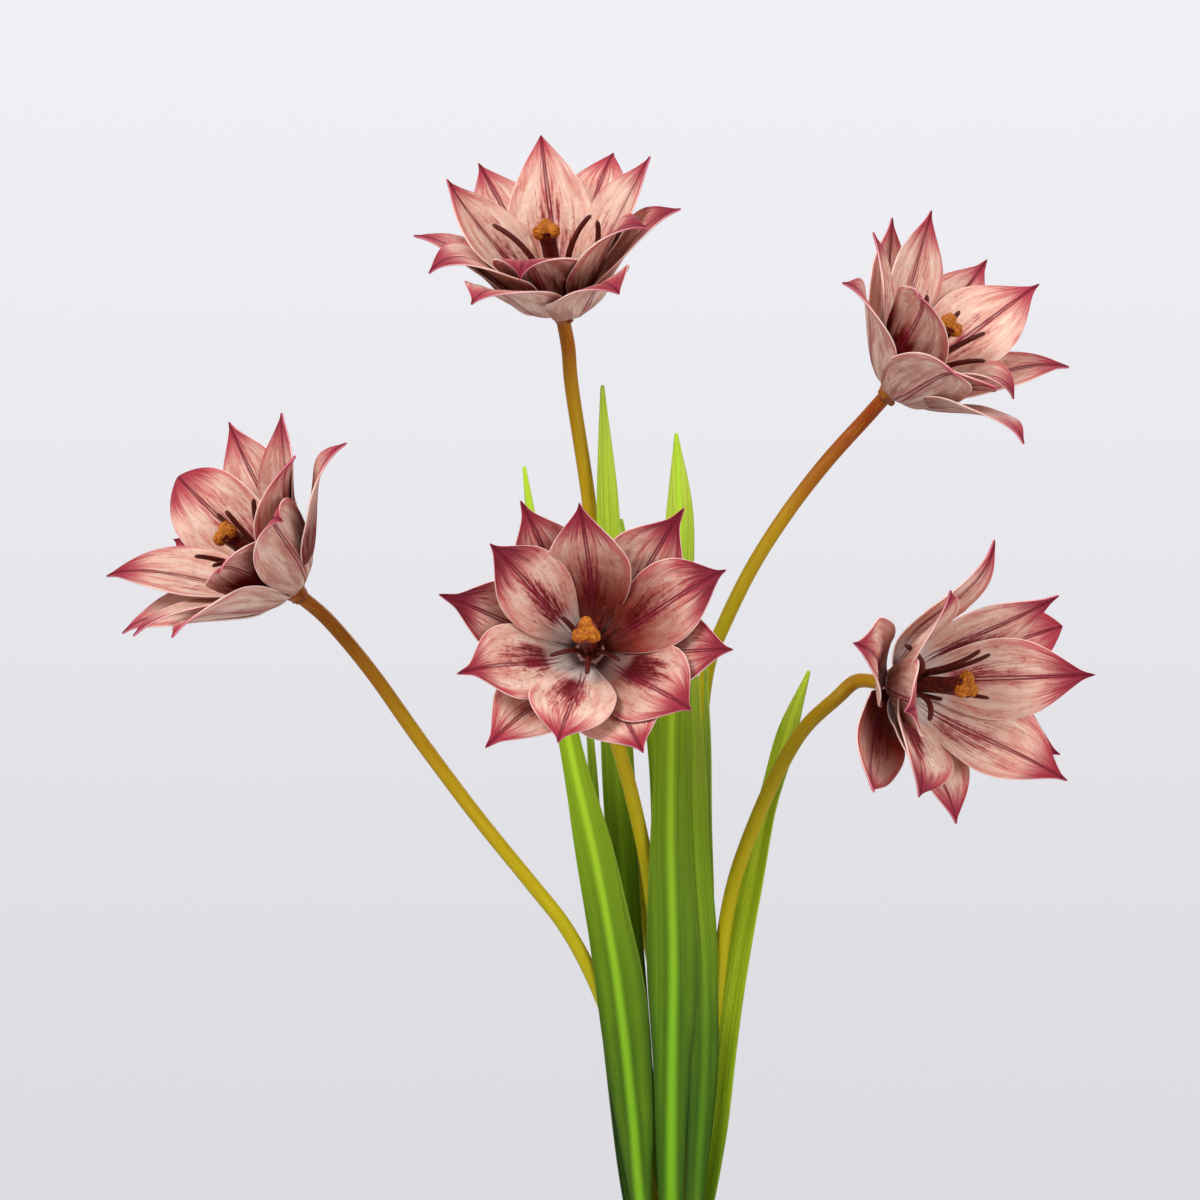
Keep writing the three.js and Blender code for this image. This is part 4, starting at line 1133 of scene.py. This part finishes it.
# Stamens. Six soft maroon strands on a ring, each bent by hand its own way. Written as (turn, lean,
# tip lean, share of the full length): degrees about the flower and from its axis.
STAMEN_RING_RADIUS = 4
STAMEN_RING_LEVEL = 4.4
STAMEN_RING_ROUNDING = 0.3
STAMEN_FOOT_RADIUS = 3.2
STAMEN_LENGTH = 36
STAMEN_RADIUS = 1.2
STRAND_START = 0.5
STRAND_STEPS = 59
STRAND_SIDES = 12
STRAND_ROWS = 48
STRAND_FLATNESS = 0.8
STRAND_TAPER = 0.3
STRAND_BLUNT_FROM = 0.95
STAMENS = {
    "top": [(0, 4, 50, 1), (352, 45, 0, 1), (95, 5, 10, 0.7), (163, 8, 62, 1), (250, 3, 20, 0.5),
            (290, 3, 25, 0.6)],
    "right": [(10, 8, 34, 0.95), (70, 3, 14, 0.9), (165, 5, 36, 0.95), (205, 4, 12, 0.8),
              (262, 14, 68, 0.95), (318, 16, 46, 0.95)],
    "left": [(10, 8, 46, 0.95), (70, 5, 14, 0.9), (95, 4, 16, 0.93), (230, 8, 34, 1), (262, 10, 58, 1),
             (325, 12, 74, 1)],
    "front": [(20, 5, 60, 0.55), (60, 5, 60, 0.6), (140, 5, 50, 0.6), (200, 10, 90, 0.5),
              (268, 5, 70, 0.5), (322, 5, 60, 0.7)],
    "low": [(62, 5, 30, 1), (88, 5, 30, 1), (140, 3, 125, 0.85), (222, 3, 75, 0.8), (265, 4, 8, 0.5),
            (330, 5, 16, 0.92)],
}


def strand_girth(v):
    """A strand's radius, which shrinks to a blunt tip."""
    tip = np.clip((v - STRAND_BLUNT_FROM) / (1 - STRAND_BLUNT_FROM), 0, 1)
    return STAMEN_RADIUS * (1 - STRAND_TAPER * v ** 3) * np.sqrt(np.clip(1 - tip ** 2, 0.02, 1))


stamen_finish, tree, shader = new_finish("stamen_maroon", 0.45, Specular_IOR_Level=0.25)
across, along = own_map(tree, "UVMap")
grain = noise(vector(across * 14, along * 3), 2.0, 3.0)
colour = coated(
    blend(grain.rise(0.35, 0.7), "#45120e", "#7d3025"),
    (along.rise(0.7, 1.0) * 0.5, "#421311"))
painted(tree, shader, colour, grain, 0.0002)

for name, strands in STAMENS.items():
    pieces = [disc(f"stamen_set_{name}", STAMEN_RING_RADIUS, STAMEN_RING_LEVEL,
                   STAMEN_RING_LEVEL + RING_THICKNESS, STAMEN_RING_ROUNDING)]
    for turn, lean, tip_lean, share in strands:
        way = math.radians(turn)
        angles = np.radians(lean + (tip_lean - lean) * np.linspace(0, 1, STRAND_STEPS + 1) ** 1.5)
        step = STAMEN_LENGTH * share / STRAND_STEPS
        run = STAMEN_FOOT_RADIUS + summed(np.sin(angles[1:]) * step)
        climb = STAMEN_RING_LEVEL + STRAND_START + summed(np.cos(angles[1:]) * step)
        line = np.stack([run * math.cos(way), run * math.sin(way), climb], axis=1)
        pieces.append(swept("strand", line, strand_girth, STRAND_SIDES, STRAND_ROWS, STRAND_FLATNESS))
    stamens = joined(pieces)
    stamens.data.transform(head_matrix(name))
    smooth(stamens, 60)
    stamens.data.materials.append(stamen_finish)
    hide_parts(f"stamens_{name}")
    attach(stamens, f"head_{name}")


# Pistils. A thick maroon column with a rough orange stigma of three lobes. The stigma is modelled
# once, of spheres grown together, and each flower gets its own copy.
PISTIL_LEVEL = 5.8
PISTIL_RADIUS = 2.9
PISTIL_FLARE = 4.1
PISTIL_FLARE_FROM = 0.7
PISTIL_TOP = 36
LOBE_REACH = 2.5
LOBE_SIZE = (2.9, 2.5, 2.7)
STIGMA_CORE = (3.6, 3.6, 2.8)
CORE_LEVEL = -0.6
STIGMA_SINK = 2.6
COLUMN_SINK = 2
COLUMN_SIDES = 32
COLUMN_ROWS = 30
COLUMN_POINTS = 40
pistil_finish, tree, shader = new_finish("pistil_maroon", 0.45, Specular_IOR_Level=0.25)
place = own_place(tree)
grain = noise(place, 420.0, 4.0)
painted(tree, shader, blend(grain.rise(0.35, 0.7), "#46120f", "#7b2a1c"), grain, 0.0004)

stigma_finish, tree, shader = new_finish("stigma_orange", 0.62, Specular_IOR_Level=0.2)
place = own_place(tree)
grain = noise(place, 900.0, 4.0, 0.6)
patches = noise(place, 320.0, 3.0)
colour = coated(
    blend(grain.rise(0.35, 0.65), "#954c0d", "#ca7720"),
    (patches.rise(0.5, 0.75) * 0.6, "#e2952c"),
    (patches.rise(0.45, 0.25) * 0.7, "#672a0a"))
painted(tree, shader, colour, grain, 0.0005)

lobes = []
for k in range(3):
    turn = 2 * math.pi * k / 3 + math.pi / 2
    at = (LOBE_REACH * math.cos(turn), LOBE_REACH * math.sin(turn), 0)
    lobes.append(primitive(bpy.ops.mesh.primitive_uv_sphere_add, "stigma_pattern", segments=24,
                           ring_count=16, radius=1, location=at, rotation=(0, 0, turn), scale=LOBE_SIZE))
core = primitive(bpy.ops.mesh.primitive_uv_sphere_add, "stigma_core", segments=24, ring_count=16,
                 radius=1, location=(0, 0, CORE_LEVEL), scale=STIGMA_CORE)
stigma = joined([*lobes, core])
grown = stigma.modifiers.new("grown", "REMESH")
grown.mode = "VOXEL"
grown.voxel_size = 0.22
eased = stigma.modifiers.new("eased", "SMOOTH")
eased.factor = 0.5
eased.iterations = 6
bumps = bpy.data.textures.new("stigma_bumps", "CLOUDS")
bumps.noise_scale = 0.9
rough = stigma.modifiers.new("rough", "DISPLACE")
rough.texture = bumps
rough.strength = 1.0
rough.mid_level = 0.5
apply_modifiers(stigma)


def column_girth(v):
    """The column's radius, which flares towards the stigma."""
    flare = np.clip((v - PISTIL_FLARE_FROM) / (1 - PISTIL_FLARE_FROM), 0, 1) ** 2
    return PISTIL_RADIUS + (PISTIL_FLARE - PISTIL_RADIUS) * flare


for name in HEADS:
    middle = np.linspace((0, 0, PISTIL_LEVEL), (0, 0, PISTIL_TOP - COLUMN_SINK), COLUMN_POINTS)
    column = swept(f"pistil_column_{name}", middle, column_girth, COLUMN_SIDES, COLUMN_ROWS)
    column.data.materials.append(pistil_finish)
    crown = stigma.copy()
    crown.data = stigma.data.copy()
    bpy.context.collection.objects.link(crown)
    crown.data.transform(Matrix.Translation((0, 0, PISTIL_TOP - STIGMA_SINK)))
    crown.data.materials.append(stigma_finish)
    column = joined([column, crown])
    column.data.transform(head_matrix(name))
    smooth(column, 60)
    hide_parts(f"pistil_{name}")
    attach(column, f"head_{name}")
bpy.data.objects.remove(stigma)
